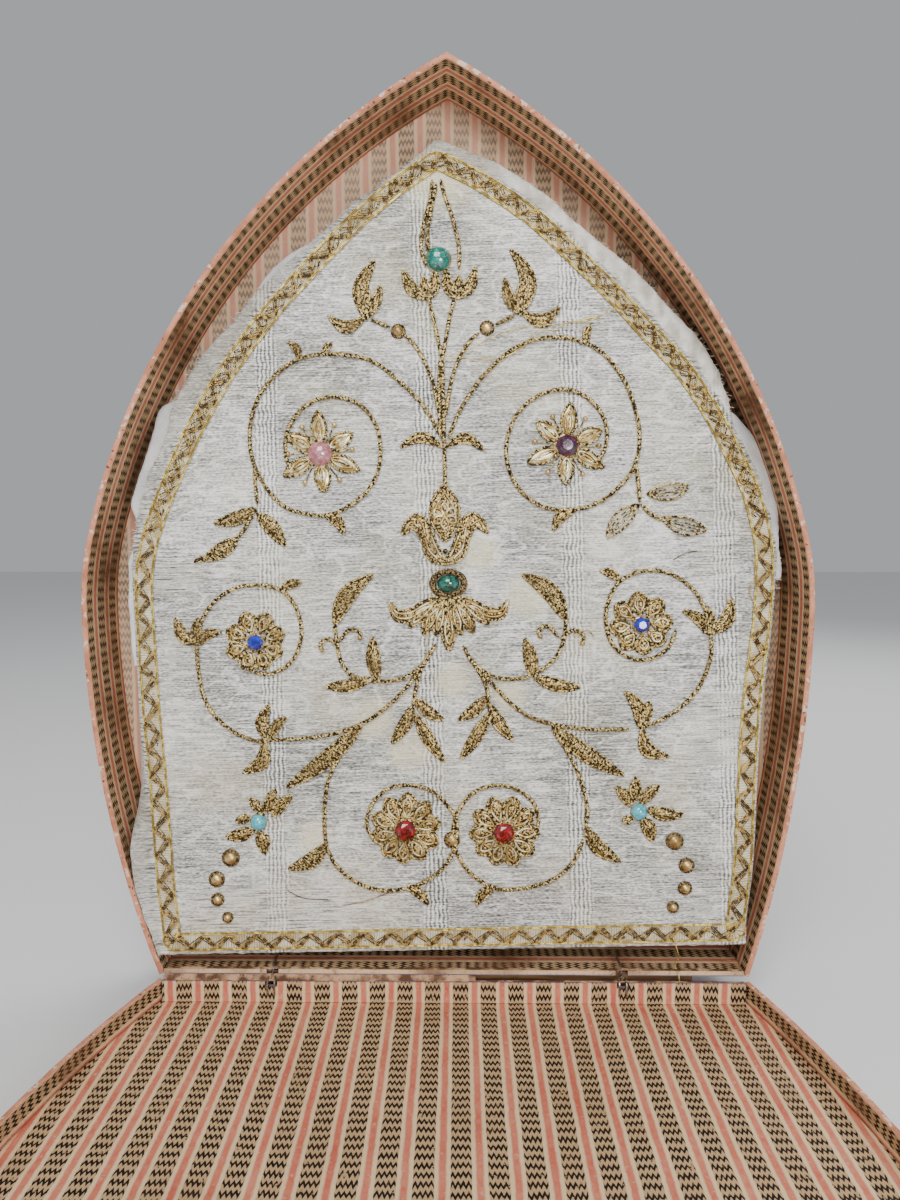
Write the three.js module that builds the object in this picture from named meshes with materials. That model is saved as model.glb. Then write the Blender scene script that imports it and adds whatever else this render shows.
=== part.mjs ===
// A bishop's mitre, folded flat and standing in its pointed pasteboard case.
//
// Millimetres, +Z up, +X to the right, +Y away into the standing half of the case.
// The rim of the standing half lies in the plane y = 0 while the pieces are made. At the end
// the whole group is shifted, so that the origin is the bottom centre of the object's box.

import * as THREE from 'three';

// ---------------------------------------------------------------- case
const BOARD = 2.5;              // pasteboard thickness
const GAP = 0.3;                // space kept between pieces that touch
const CASE_DEPTH = 38;          // inside depth of the standing half
const LID_DEPTH = 10.5;         // inside depth of the lid
const CASE_HALF_WIDTH = 172;    // outside, at the widest place
const CASE_WIDEST = 179;        // height of the widest place above the foot
const CASE_FOOT_LEFT = 141;     // outside half widths at the foot: the case was made by eye
const CASE_FOOT_RIGHT = 147;
const CASE_SHOULDER_RADIUS = 139;
const CASE_SHOULDER_ANGLE = THREE.MathUtils.degToRad(14.1);
const CASE_SIDE_RADIUS = 334.6; // the long arc that runs up to the point
const CASE_LIFT = 15;           // height of the standing half's underside above the table
const HINGE_Z = 14;             // hinge axis: along X, at y = 0
const LID_RIM_Y = -1;           // rim plane of the lid when it is closed
const LID_OPEN_ANGLE = Math.PI / 2;

// ---------------------------------------------------------------- hinge wires
const WIRE = 0.45;              // wire radius
const HINGE_X = 85;             // distance of each hinge from the middle
const NOTCH_HALF = 3;           // half width of the notch that a hinge works in
const NOTCH_DEPTH = 2.6;
const EYE_RADIUS = 1.6;         // centre line of the ring on the standing half
const STAPLE_HALF = 1.7;        // half width of the staple on the lid

// ---------------------------------------------------------------- batten under the case
const BATTEN = { halfLength: 120, front: 3, depth: 37, height: 14.7 };

// ---------------------------------------------------------------- mitre
// Its own frame: u to the right and v up along the front face, y backwards from its surface.
const FACE_HALF_WIDTH = 155.5;  // at the shoulders
const FACE_FOOT = 143.6;        // half width at the foot
const FACE_WAIST = 90;          // below this height the sides run straight
const FACE_SHOULDER = 180;      // height of the widest place
const FACE_SHOULDER_RADIUS = 126;
const FACE_SHOULDER_ANGLE = THREE.MathUtils.degToRad(27.7);
const FACE_SIDE_RADIUS = 375;
const SHEET = 2;                // stiffened silk
const MITRE_DEPTH_FOOT = 35;    // front surface to back surface, at the foot and at the point
const MITRE_DEPTH_TIP = 6.2;
const SEAM_GAP = 0.4;           // between the two faces' edges at the side seams
const SEAM_TOP = 170;           // the side seams end here, and the two points part
const SEAM_FADE = 24;           // height over which the turned-back sides run out
const SIDE_SWELL = 6;           // how far the sides swell out below the shoulders
const EDGE_TURN = 0.8;          // turned edge of the silk
const MITRE_TILT = THREE.MathUtils.degToRad(4.66);  // leans back to the point
const MITRE_LEAN = THREE.MathUtils.degToRad(1.3);   // leans to the left
const MITRE_PLACE = [3.2, -0.5, 28.7];              // foot of the face, middle

const GUSSET = { thickness: 0.9, foot: 184, tip: 374, out: 7, inside: 16 };
const GALLOON = { width: 8.6, inset: 0.4, thickness: 1.3 };

// Stones: place on the face, radius, height and cut.
const STONES = [
  { name: 'stone_green_top', u: 0, v: 333, radius: 6.2, height: 5.0, cut: 'dome', color: 0x1f9a8c },
  { name: 'stone_pink', u: -59, v: 241, radius: 6.2, height: 5.0, cut: 'dome', color: 0xc98a92 },
  { name: 'stone_violet', u: 60, v: 242, radius: 6.0, height: 4.6, cut: 'facets', color: 0x3a0f33 },
  { name: 'stone_blue_left', u: -92.3, v: 150.5, radius: 4.2, height: 3.6, cut: 'facets', color: 0x1230c0 },
  { name: 'stone_blue_right', u: 94, v: 155, radius: 4.2, height: 3.6, cut: 'facets', color: 0x1230c0 },
  { name: 'stone_red_left', u: -21.8, v: 58.2, radius: 5.6, height: 4.2, cut: 'facets', color: 0xb00d12 },
  { name: 'stone_red_right', u: 25.7, v: 56, radius: 5.6, height: 4.2, cut: 'facets', color: 0xb00d12 },
  { name: 'stone_turquoise_left', u: -93, v: 63.5, radius: 4.0, height: 3.6, cut: 'dome', color: 0x55cfe0 },
  { name: 'stone_turquoise_right', u: 91, v: 65, radius: 4.0, height: 3.6, cut: 'dome', color: 0x55cfe0 },
];
const EMERALD = { u: 1.5, v: 177, halfWidth: 6.6, halfHeight: 5.2, height: 4.2 };
const BEZEL = { wire: 1.3, clearance: 0.3 };

const BOSS_HEIGHT = 2.4;
const BOSSES = [
  { name: 'boss_top_left', u: -20, v: 299, radius: 4.0 },
  { name: 'boss_top_right', u: 22.8, v: 299.5, radius: 4.0 },
  { name: 'boss_middle', u: 0.5, v: 53, radius: 4.4 },
  { name: 'boss_left_1', u: -107, v: 46.3, radius: 4.8 },
  { name: 'boss_left_2', u: -114, v: 36, radius: 4.4 },
  { name: 'boss_left_3', u: -113.8, v: 26.2, radius: 3.6 },
  { name: 'boss_left_4', u: -109, v: 17.5, radius: 3.0 },
  { name: 'boss_right_1', u: 108, v: 50.3, radius: 4.8 },
  { name: 'boss_right_2', u: 113.5, v: 38.5, radius: 4.2 },
  { name: 'boss_right_3', u: 112.5, v: 27.5, radius: 3.8 },
  { name: 'boss_right_4', u: 106.5, v: 18.5, radius: 3.2 },
];

// ---------------------------------------------------------------- materials
function finish(color, roughness, metalness = 0) {
  return new THREE.MeshStandardMaterial({ color, roughness, metalness });
}

const PAPER = finish(0xc9ab84, 0.85);
const WOOD = finish(0x6b4a2e, 0.7);
const IRON = finish(0x8b8478, 0.4, 1);
const SILK = finish(0xb9b5a8, 0.55);
const LINEN = finish(0xe6e2d6, 0.85);
const GOLD_THREAD = finish(0xa98b4a, 0.45, 0.6);
const GILT = finish(0xc9a24e, 0.3, 1);

function add(parent, name, geometry, material) {
  const mesh = new THREE.Mesh(geometry, material);
  mesh.name = name;
  parent.add(mesh);
  return mesh;
}

// ---------------------------------------------------------------- outlines

// Points along a circle from one angle to another.
function arc(centreX, centreZ, radius, from, to, steps) {
  const points = [];
  for (let i = 0; i <= steps; i++) {
    const angle = from + (to - from) * i / steps;
    points.push(new THREE.Vector2(centreX + radius * Math.cos(angle), centreZ + radius * Math.sin(angle)));
  }
  return points;
}

// Shoulder arc and side arc of a pointed shape, from the widest place up to x = middle.
function pointedTop(halfWidth, widest, shoulderRadius, shoulderAngle, sideRadius, inset, middle, steps) {
  const shoulderX = halfWidth - shoulderRadius;
  const sideX = shoulderX + (shoulderRadius - sideRadius) * Math.cos(shoulderAngle);
  const sideZ = widest + (shoulderRadius - sideRadius) * Math.sin(shoulderAngle);
  const tip = Math.acos((middle - sideX) / (sideRadius - inset));
  const shoulder = arc(shoulderX, widest, shoulderRadius - inset, 0, shoulderAngle, Math.ceil(steps / 4));
  const side = arc(sideX, sideZ, sideRadius - inset, shoulderAngle, tip, steps);
  return [...shoulder, ...side.slice(1)];
}

// One side of the case's outline, from the foot to the point: the lower arc first.
function caseSide(footHalf, inset, middle = 0) {
  const swell = CASE_HALF_WIDTH - footHalf;
  const radius = (swell * swell + CASE_WIDEST * CASE_WIDEST) / (2 * swell);
  const start = -Math.asin(CASE_WIDEST / (radius - inset));
  const lower = arc(CASE_HALF_WIDTH - radius, CASE_WIDEST, radius - inset, start, 0, 10);
  const top = pointedTop(CASE_HALF_WIDTH, CASE_WIDEST, CASE_SHOULDER_RADIUS, CASE_SHOULDER_ANGLE,
    CASE_SIDE_RADIUS, inset, middle, 22);
  return [...lower, ...top.slice(1)];
}

function mirrored(points) {
  return points.map((p) => new THREE.Vector2(-p.x, p.y));
}

// A flat piece with its outline in the XZ plane, from y = near to y = near + thickness.
function standingPlate(outline, near, thickness) {
  const settings = { depth: thickness, bevelEnabled: false };
  const geometry = new THREE.ExtrudeGeometry(new THREE.Shape(outline), settings);
  geometry.rotateX(Math.PI / 2);
  geometry.translate(0, near + thickness, 0);
  return geometry;
}

// ---------------------------------------------------------------- trays of the case

// A pointed tray with its rim at y = rim, going to +Y (direction 1) or to -Y (direction -1).
function tray(prefix, rim, direction, depth) {
  const group = new THREE.Group();
  const span = (from, to) => [Math.min(rim + direction * from, rim + direction * to), Math.abs(to - from)];
  const [wallNear, wallDepth] = span(0, depth - GAP);
  const [boardNear] = span(depth, depth + BOARD);

  const boardRight = caseSide(CASE_FOOT_RIGHT, 0);
  const boardLeft = mirrored(caseSide(CASE_FOOT_LEFT, 0));
  const board = [...boardRight, ...boardLeft.reverse().slice(1)];
  add(group, `${prefix}_board`, standingPlate(board, boardNear, BOARD), PAPER);

  const sides = [
    { name: `${prefix}_wall_right`, foot: CASE_FOOT_RIGHT, turn: (points) => points },
    { name: `${prefix}_wall_left`, foot: CASE_FOOT_LEFT, turn: mirrored },
  ];
  for (const side of sides) {
    const outer = caseSide(side.foot, 0, GAP / 2);
    const inner = caseSide(side.foot, BOARD, GAP / 2);
    const wall = side.turn([...outer, ...inner.reverse()]);
    add(group, side.name, standingPlate(wall, wallNear, wallDepth), PAPER);
  }

  // The foot wall stands between the side walls, with a notch at the rim for each hinge.
  const left = -caseSide(CASE_FOOT_LEFT, BOARD)[0].x + GAP;
  const right = caseSide(CASE_FOOT_RIGHT, BOARD)[0].x - GAP;
  const edge = [new THREE.Vector2(left, 0)];
  for (const x of [-HINGE_X, HINGE_X]) {
    edge.push(new THREE.Vector2(x - NOTCH_HALF, 0), new THREE.Vector2(x - NOTCH_HALF, NOTCH_DEPTH),
      new THREE.Vector2(x + NOTCH_HALF, NOTCH_DEPTH), new THREE.Vector2(x + NOTCH_HALF, 0));
  }
  edge.push(new THREE.Vector2(right, 0));
  edge.push(new THREE.Vector2(right, wallDepth), new THREE.Vector2(left, wallDepth));
  const footOutline = new THREE.Shape(edge.map((p) => new THREE.Vector2(p.x, rim + direction * p.y)));
  const foot = new THREE.ExtrudeGeometry(footOutline, { depth: BOARD, bevelEnabled: false });
  add(group, `${prefix}_wall_foot`, foot, PAPER);
  return group;
}

// ---------------------------------------------------------------- hinge wires

// A round wire along a path of straight stretches and arcs.
function wire(points) {
  const path = new THREE.CatmullRomCurve3(points, false, 'centripetal');
  const section = new THREE.Shape().absarc(0, 0, WIRE, 0, 2 * Math.PI);
  const settings = { steps: 2 * points.length, curveSegments: 3, extrudePath: path, bevelEnabled: false };
  return new THREE.ExtrudeGeometry(section, settings);
}

// Ring on the standing half: a leg along the foot wall, then most of a circle round the hinge axis.
function eyeWire() {
  const legTop = CASE_LIFT + BOARD + GAP + WIRE - HINGE_Z;
  const points = [12, 7, 3].map((y) => new THREE.Vector3(0, y, legTop));
  const turns = 10;
  for (let i = 0; i <= turns; i++) {
    const angle = THREE.MathUtils.degToRad(70 + 300 * i / turns);
    points.push(new THREE.Vector3(0, EYE_RADIUS * Math.cos(angle), EYE_RADIUS * Math.sin(angle)));
  }
  return wire(points);
}

// Staple on the lid: through the ring along the hinge axis, over the lid's foot wall and down inside it.
function stapleWire() {
  const inside = LID_RIM_Y - BOARD - GAP - WIRE;
  const half = [[STAPLE_HALF, inside, -7.5], [STAPLE_HALF, inside, -3], [STAPLE_HALF, inside + 0.7, -0.6],
    [STAPLE_HALF, -2, 0], [STAPLE_HALF - 0.15, -0.6, 0], [STAPLE_HALF - 0.9, 0, 0]];
  const points = half.map((p) => new THREE.Vector3(...p));
  const back = half.map((p) => new THREE.Vector3(-p[0], p[1], p[2])).reverse();
  return wire([...points, ...back]);
}

// ---------------------------------------------------------------- mitre faces

// Half outline of the face, from its foot to its point.
function faceSide() {
  const lower = [new THREE.Vector2(FACE_FOOT, 0)];
  const steps = 10;
  for (let i = 1; i < steps; i++) {
    const v = FACE_SHOULDER * i / steps;
    const rise = THREE.MathUtils.smoothstep(v, FACE_WAIST, FACE_SHOULDER);
    lower.push(new THREE.Vector2(FACE_FOOT + (FACE_HALF_WIDTH - FACE_FOOT) * rise, v));
  }
  const top = pointedTop(FACE_HALF_WIDTH, FACE_SHOULDER, FACE_SHOULDER_RADIUS, FACE_SHOULDER_ANGLE,
    FACE_SIDE_RADIUS, 0, 0, 16);
  return [...lower, ...top];
}

const FACE_SIDE = faceSide();
const FACE_TIP = FACE_SIDE[FACE_SIDE.length - 1].y;

function mitreDepth(v) {
  return MITRE_DEPTH_FOOT + (MITRE_DEPTH_TIP - MITRE_DEPTH_FOOT) * v / FACE_TIP;
}

// Section of one face at one height: flat in the middle, its sides turned back to the seam.
// Returns the outer and the inner points, from left to right, as [u, y].
function faceSection(half, v) {
  const closed = 1 - THREE.MathUtils.smoothstep(v, SEAM_TOP, SEAM_TOP + SEAM_FADE);
  const turnBack = EDGE_TURN + closed * ((mitreDepth(v) - SEAM_GAP) / 2 - EDGE_TURN);
  const swell = EDGE_TURN + closed * SIDE_SWELL * Math.sin(Math.PI * v / (SEAM_TOP + SEAM_FADE));
  const innerTurn = Math.max(turnBack - SHEET, 0);
  const innerHalf = Math.max(half - SHEET, 0.3 * half);
  const right = [];
  for (const across of [0, 0.34, 0.67]) {
    right.push({ outer: [half * across, 0], inner: [innerHalf * across, SHEET] });
  }
  const turns = 4;
  for (let i = 0; i <= turns; i++) {
    const angle = Math.PI / 2 * i / turns;
    const back = 1 - Math.cos(angle);
    right.push({
      outer: [half + swell * Math.sin(angle), turnBack * back],
      inner: [innerHalf + swell * Math.sin(angle), SHEET + innerTurn * back],
    });
  }
  const left = right.slice(1).reverse().map((p) => ({
    outer: [-p.outer[0], p.outer[1]],
    inner: [-p.inner[0], p.inner[1]],
  }));
  return [...left, ...right];
}

// A closed shell lofted through the sections. The back face is the front one turned about the middle depth.
function mitreFace(isBack) {
  const rows = FACE_SIDE.slice(0, -1).map((p) => ({ half: p.x, v: p.y }));
  const last = FACE_SIDE[FACE_SIDE.length - 1];
  rows.push({ half: 1.5, v: last.y - 1 });
  const positions = [];
  const columns = faceSection(rows[0].half, rows[0].v).length;
  for (const layer of ['outer', 'inner']) {
    for (const row of rows) {
      for (const point of faceSection(row.half, row.v)) {
        const [u, y] = point[layer];
        positions.push(u, isBack ? mitreDepth(row.v) - y : y, row.v);
      }
    }
  }
  const layerSize = rows.length * columns;
  const at = (layer, row, column) => layer * layerSize + row * columns + column;
  const index = [];
  const quad = (a, b, c, d) => {
    if (isBack) index.push(a, c, b, a, d, c);
    else index.push(a, b, c, a, c, d);
  };
  for (let r = 0; r < rows.length - 1; r++) {
    for (let c = 0; c < columns - 1; c++) {
      quad(at(0, r, c), at(0, r, c + 1), at(0, r + 1, c + 1), at(0, r + 1, c));
      quad(at(1, r, c), at(1, r + 1, c), at(1, r + 1, c + 1), at(1, r, c + 1));
    }
    const end = columns - 1;
    quad(at(0, r, end), at(1, r, end), at(1, r + 1, end), at(0, r + 1, end));
    quad(at(0, r, 0), at(0, r + 1, 0), at(1, r + 1, 0), at(1, r, 0));
  }
  const top = rows.length - 1;
  for (let c = 0; c < columns - 1; c++) {
    quad(at(0, 0, c), at(1, 0, c), at(1, 0, c + 1), at(0, 0, c + 1));
    quad(at(0, top, c), at(0, top, c + 1), at(1, top, c + 1), at(1, top, c));
  }
  const geometry = new THREE.BufferGeometry();
  geometry.setAttribute('position', new THREE.Float32BufferAttribute(positions, 3));
  geometry.setIndex(index);
  geometry.computeVertexNormals();
  return geometry;
}

// The half outline moved outwards (or inwards, if distance is negative) along its normals.
function offsetSide(distance) {
  return FACE_SIDE.map((p, i) => {
    const before = FACE_SIDE[Math.max(i - 1, 0)];
    const after = FACE_SIDE[Math.min(i + 1, FACE_SIDE.length - 1)];
    const along = after.clone().sub(before).normalize();
    return new THREE.Vector2(p.x + along.y * distance, p.y - along.x * distance);
  });
}

// Cuts a half outline off below v = low and beyond the middle line.
function trimSide(points, low) {
  const kept = points.filter((p) => p.y > low && p.x > 0);
  const first = kept[0];
  const last = kept[kept.length - 1];
  const previous = kept[kept.length - 2];
  const slope = (last.y - previous.y) / (last.x - previous.x);
  return [new THREE.Vector2(first.x, low), ...kept, new THREE.Vector2(0, last.y - slope * last.x)];
}

function closedOutline(side) {
  return [...side, ...mirrored(side).reverse().slice(1)];
}

// ---------------------------------------------------------------- mitre trim

// White cloth that joins the two points, folded flat between them and standing out past their edges.
function gusset(sign) {
  const within = (p) => p.y > GUSSET.foot && p.y < GUSSET.tip;
  const outer = offsetSide(GUSSET.out).filter(within);
  const inner = offsetSide(-GUSSET.inside).filter((p) => within(p) && p.x > 2);
  const outline = [...outer, ...inner.reverse()].map((p) => new THREE.Vector2(sign * p.x, p.y));
  const geometry = standingPlate(outline, 0, GUSSET.thickness);
  // It follows the middle between the two faces, which come together towards the point.
  const position = geometry.attributes.position;
  for (let i = 0; i < position.count; i++) {
    const middle = (mitreDepth(position.getZ(i)) - GUSSET.thickness) / 2;
    position.setY(i, position.getY(i) + middle);
  }
  return geometry;
}

function galloon() {
  const outer = closedOutline(trimSide(offsetSide(-GALLOON.inset), GALLOON.inset));
  const reach = GALLOON.inset + GALLOON.width;
  const inner = closedOutline(trimSide(offsetSide(-reach), reach));
  const shape = new THREE.Shape(outer);
  shape.holes.push(new THREE.Path(inner));
  const geometry = new THREE.ExtrudeGeometry(shape, { depth: GALLOON.thickness, bevelEnabled: false });
  geometry.rotateX(Math.PI / 2);
  geometry.translate(0, -GAP, 0);
  return geometry;
}

// A round piece lathed about Y and turned over, so that it stands out forwards from the face.
function onFace(profile, segments) {
  return new THREE.LatheGeometry(profile, segments).rotateX(Math.PI);
}

function dome(radius, height, segments) {
  const profile = [new THREE.Vector2(0, 0)];
  const steps = 5;
  for (let i = 0; i <= steps; i++) {
    const angle = Math.PI / 2 * i / steps;
    profile.push(new THREE.Vector2(radius * Math.cos(angle), height * (0.18 + 0.82 * Math.sin(angle))));
  }
  profile[profile.length - 1].x = 0;
  return onFace(profile, segments);
}

// A cut stone: girdle, sloping crown and flat table, with eight sides.
function facets(radius, height) {
  const profile = [[0, 0], [radius * 0.8, 0], [radius, height * 0.35], [radius * 0.86, height * 0.7],
    [radius * 0.55, height], [0, height]];
  return onFace(profile.map((p) => new THREE.Vector2(...p)), 8);
}

// ---------------------------------------------------------------- assembly
const group = new THREE.Group();

const standing = tray('case', 0, 1, CASE_DEPTH);
standing.position.z = CASE_LIFT;
group.add(standing);

const batten = new THREE.BoxGeometry(2 * BATTEN.halfLength, BATTEN.depth, BATTEN.height);
batten.translate(0, BATTEN.front + BATTEN.depth / 2, BATTEN.height / 2);
add(group, 'case_batten', batten, WOOD);

// The lid is made closed, on the far side of the hinge, and then turned open about the hinge axis.
const lid = new THREE.Group();
const lidTray = tray('lid', LID_RIM_Y, -1, LID_DEPTH);
lidTray.position.z = CASE_LIFT - HINGE_Z;
lid.add(lidTray);
lid.position.z = HINGE_Z;
lid.rotation.x = LID_OPEN_ANGLE;
group.add(lid);

for (const [side, x] of [['left', -HINGE_X], ['right', HINGE_X]]) {
  add(group, `case_hinge_eye_${side}`, eyeWire(), IRON).position.set(x, 0, HINGE_Z);
  add(group, `lid_hinge_staple_${side}`, stapleWire(), IRON).position.set(x, 0, HINGE_Z);
}

const tilted = new THREE.Group();
tilted.position.set(...MITRE_PLACE);
tilted.rotation.x = -MITRE_TILT;
group.add(tilted);
const mitre = new THREE.Group();
mitre.rotation.y = -MITRE_LEAN;
tilted.add(mitre);

add(mitre, 'mitre_front_face', mitreFace(false), SILK);
add(mitre, 'mitre_back_face', mitreFace(true), SILK);
add(mitre, 'mitre_gusset_left', gusset(-1), LINEN);
add(mitre, 'mitre_gusset_right', gusset(1), LINEN);
add(mitre, 'mitre_galloon', galloon(), GOLD_THREAD);

for (const stone of STONES) {
  const { radius, height } = stone;
  const geometry = stone.cut === 'dome' ? dome(radius, height, 14) : facets(radius, height);
  add(mitre, stone.name, geometry, finish(stone.color, 0.15)).position.set(stone.u, -GAP, stone.v);
}

const emerald = dome(1, EMERALD.height, 16);
emerald.scale(EMERALD.halfWidth, 1, EMERALD.halfHeight);
add(mitre, 'stone_emerald', emerald, finish(0x0c6b46, 0.15)).position.set(EMERALD.u, -GAP, EMERALD.v);

// Rope bezel round the emerald: a ring of round wire, drawn out to the stone's oval.
const innerRadius = EMERALD.halfHeight + BEZEL.clearance;
const wireRing = [];
for (let i = 0; i <= 8; i++) {
  const angle = 2 * Math.PI * (i % 8) / 8;
  wireRing.push(new THREE.Vector2(
    innerRadius + BEZEL.wire * (1 + Math.cos(angle)), BEZEL.wire * (1 + Math.sin(angle))));
}
const bezel = onFace(wireRing, 24);
bezel.scale((EMERALD.halfWidth + BEZEL.clearance) / innerRadius, 1, 1);
add(mitre, 'emerald_bezel', bezel, GILT).position.set(EMERALD.u, -GAP, EMERALD.v);

for (const boss of BOSSES) {
  add(mitre, boss.name, dome(boss.radius, BOSS_HEIGHT, 10), GILT).position.set(boss.u, -GAP, boss.v);
}

// Origin at the bottom centre of the whole object's box.
const box = new THREE.Box3().setFromObject(group, true);
group.position.set(-(box.min.x + box.max.x) / 2, -(box.min.y + box.max.y) / 2, -box.min.z);

export default group;
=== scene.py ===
# %% [markdown]
# # A bishop's mitre, standing in its open case
#
# The object is a folded silk mitre with gold embroidery and glass stones. It stands in one half of a
# pasteboard case lined with printed paper, and the lid lies open in front of it. The frame comes first:
# it gives the place and the size of every part, so that nothing has to be fitted later. The finished
# model has to stay inside it.

# %% Load the frame and measure its parts
import math

import bmesh
import bpy
from mathutils import Matrix, Vector, noise


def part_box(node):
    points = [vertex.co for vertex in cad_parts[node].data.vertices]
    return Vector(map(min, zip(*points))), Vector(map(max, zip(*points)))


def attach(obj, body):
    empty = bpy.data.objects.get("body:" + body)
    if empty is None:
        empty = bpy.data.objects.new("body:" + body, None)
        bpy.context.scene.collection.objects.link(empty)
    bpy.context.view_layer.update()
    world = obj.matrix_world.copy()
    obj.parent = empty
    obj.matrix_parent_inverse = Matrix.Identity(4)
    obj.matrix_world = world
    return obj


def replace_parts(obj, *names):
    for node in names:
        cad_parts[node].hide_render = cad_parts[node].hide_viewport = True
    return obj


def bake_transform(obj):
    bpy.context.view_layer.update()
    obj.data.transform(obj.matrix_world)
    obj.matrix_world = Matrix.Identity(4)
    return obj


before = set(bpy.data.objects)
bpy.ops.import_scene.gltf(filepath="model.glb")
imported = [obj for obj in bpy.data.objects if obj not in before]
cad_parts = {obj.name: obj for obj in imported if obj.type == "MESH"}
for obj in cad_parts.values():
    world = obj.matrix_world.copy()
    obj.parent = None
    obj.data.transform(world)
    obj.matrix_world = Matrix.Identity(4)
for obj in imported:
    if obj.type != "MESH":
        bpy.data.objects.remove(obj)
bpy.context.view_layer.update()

MM = 0.001
RIM_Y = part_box("case_wall_left")[0].y        # the rim plane of the standing half
CASE_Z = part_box("case_board")[0].z           # its underside
WALL_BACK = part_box("case_wall_left")[1].y
BOARD_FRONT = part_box("case_board")[0].y
LID_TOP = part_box("lid_wall_left")[1].z
LID_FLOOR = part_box("lid_board")[1].z
LID_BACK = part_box("lid_board")[1].y
print("rim plane", round(RIM_Y, 4), "case underside", round(CASE_Z, 4), "lid top", round(LID_TOP, 4))

# %% [markdown]
# The camera stands just above the open lid, close up and with a wide lens, looking a little downwards. It
# comes first, because every later choice of detail is judged through it. Its lens is worked out from a
# focal length in the same unit as the frame's height, which is how a wide view is easiest to describe.

# %% Camera
FRAME_HEIGHT = 1200
FOCAL_LENGTH = 842                           # in the same unit as the frame height
camera_data = bpy.data.cameras.new("camera")
camera_data.sensor_width = 36
camera_data.lens = camera_data.sensor_width * FOCAL_LENGTH / FRAME_HEIGHT
camera_data.clip_start = 0.01
camera = bpy.data.objects.new("camera", camera_data)
bpy.context.scene.collection.objects.link(camera)
camera.location = (0.00535, RIM_Y - 0.39215, CASE_Z + 0.2183)
camera.rotation_euler = (math.radians(90 - 5.1), 0, math.radians(0.55))
bpy.context.scene.camera = camera
print("lens", round(camera_data.lens, 2), "mm")

# %% [markdown]
# Soft light suits silk and gilt: a large panel above and in front gives the silk its even sheen, a
# second one low in front and to the right reaches into the case and makes the cords glint, a third one
# behind draws the rims, and a pale surround fills the shadows. The floor is plain and pale.

# %% Floor and light
def panel(name, place, target, size, watts, tint=(1, 1, 1)):
    """A square soft light at a place, turned towards a target."""
    data = bpy.data.lights.new(name, "AREA")
    data.size, data.energy, data.color = size, watts, tint
    lamp = bpy.data.objects.new(name, data)
    lamp.location = place
    lamp.rotation_euler = (Vector(target) - Vector(place)).to_track_quat("-Z", "Y").to_euler()
    bpy.context.scene.collection.objects.link(lamp)
    return lamp


MIDDLE = (0, 0.2, 0.2)
panel("key_light", (-0.15, -0.75, 1.15), MIDDLE, 0.7, 14, (1, 0.97, 0.93))
panel("front_light", (0.55, -1.6, 0.5), MIDDLE, 0.5, 16)
panel("rim_light", (0.7, 1.0, 1.1), MIDDLE, 0.8, 8)
world = bpy.data.worlds.new("surround")
world.use_nodes = True
world.node_tree.nodes["Background"].inputs["Color"].default_value = (0.8, 0.82, 0.86, 1)
world.node_tree.nodes["Background"].inputs["Strength"].default_value = 0.5
bpy.context.scene.world = world

floor_mesh = bmesh.new()
bmesh.ops.create_grid(floor_mesh, x_segments=1, y_segments=1, size=4)
floor_data = bpy.data.meshes.new("floor")
floor_mesh.to_mesh(floor_data)
floor_mesh.free()
floor = bpy.data.objects.new("floor", floor_data)
floor.location.z = -0.0005
bpy.context.scene.collection.objects.link(floor)

# %% [markdown]
# Every finish here is old paper, silk or metal thread, so it needs arithmetic on shader sockets: stripes
# from a wrapped distance, wear from noise. A small class wraps one socket and turns Python operators into
# Math nodes. One method of it makes any other node.

# %% Shader arithmetic
class Socket:
    """One output of a shader node. Arithmetic on it adds Math nodes to the same material."""

    def __init__(self, tree, link):
        self.tree, self.link = tree, link

    def node(self, kind, values=(), output=0, stops=None, **settings):
        """Adds a node: settings first, then a ramp's stops, then its sockets' values or links."""
        made = self.tree.nodes.new("ShaderNode" + kind)
        for name, value in settings.items():
            setattr(made, name, value)
        for i, (position, colour) in enumerate(stops or ()):
            elements = made.color_ramp.elements
            element = elements[i] if i < 2 else elements.new(position)
            element.position, element.color = position, colour
        for name, value in dict(values).items():
            if isinstance(value, Socket):
                self.tree.links.new(value.link, made.inputs[name])
            else:
                made.inputs[name].default_value = value
        return Socket(self.tree, made.outputs[output])

    def math(self, operation, *values):
        return self.node("Math", enumerate(values), operation=operation)

    def __add__(self, other):
        return self.math("ADD", self, other)

    def __sub__(self, other):
        return self.math("SUBTRACT", self, other)

    def __rsub__(self, other):
        return self.math("SUBTRACT", other, self)

    def __mul__(self, other):
        return self.math("MULTIPLY", self, other)

    def __truediv__(self, other):
        return self.math("DIVIDE", self, other)

    __radd__, __rmul__ = __add__, __mul__

    def rise(self, low, high):
        """0 below low, 1 above high, smooth in between."""
        values = {"Value": self, "From Min": low, "From Max": high}
        return self.node("MapRange", values, interpolation_type="SMOOTHSTEP")

    def size(self):
        return self.math("ABSOLUTE", self)

    def wrap(self, half):
        """The value brought back into -half to half, over and over."""
        return self.math("WRAP", self, half, -half)

    def wave(self, length):
        """A sine of that wavelength, from 0 to 1."""
        return self.math("SINE", self * (2 * math.pi / length)) * 0.5 + 0.5

    def colour(self, low, high):
        """A mix of two colours, with this value as its factor."""
        return self.node("Mix", {0: self, 6: low, 7: high}, output=2, data_type="RGBA")

    def noise(self, size, detail=2.0, stretch=(1, 1, 1)):
        """Noise over this vector, with features of about size mm, drawn out by stretch."""
        scale = tuple(1 / (size * MM * k) for k in stretch)
        moved = self.node("VectorMath", {0: self, 1: scale}, operation="MULTIPLY")
        return moved.node("TexNoise", {"Vector": moved, "Scale": 1.0, "Detail": detail})

    def bump(self, depth):
        """A normal from this height, which is depth mm high."""
        return self.node("Bump", {"Height": self, "Distance": depth * MM, "Strength": 1.0})


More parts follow.
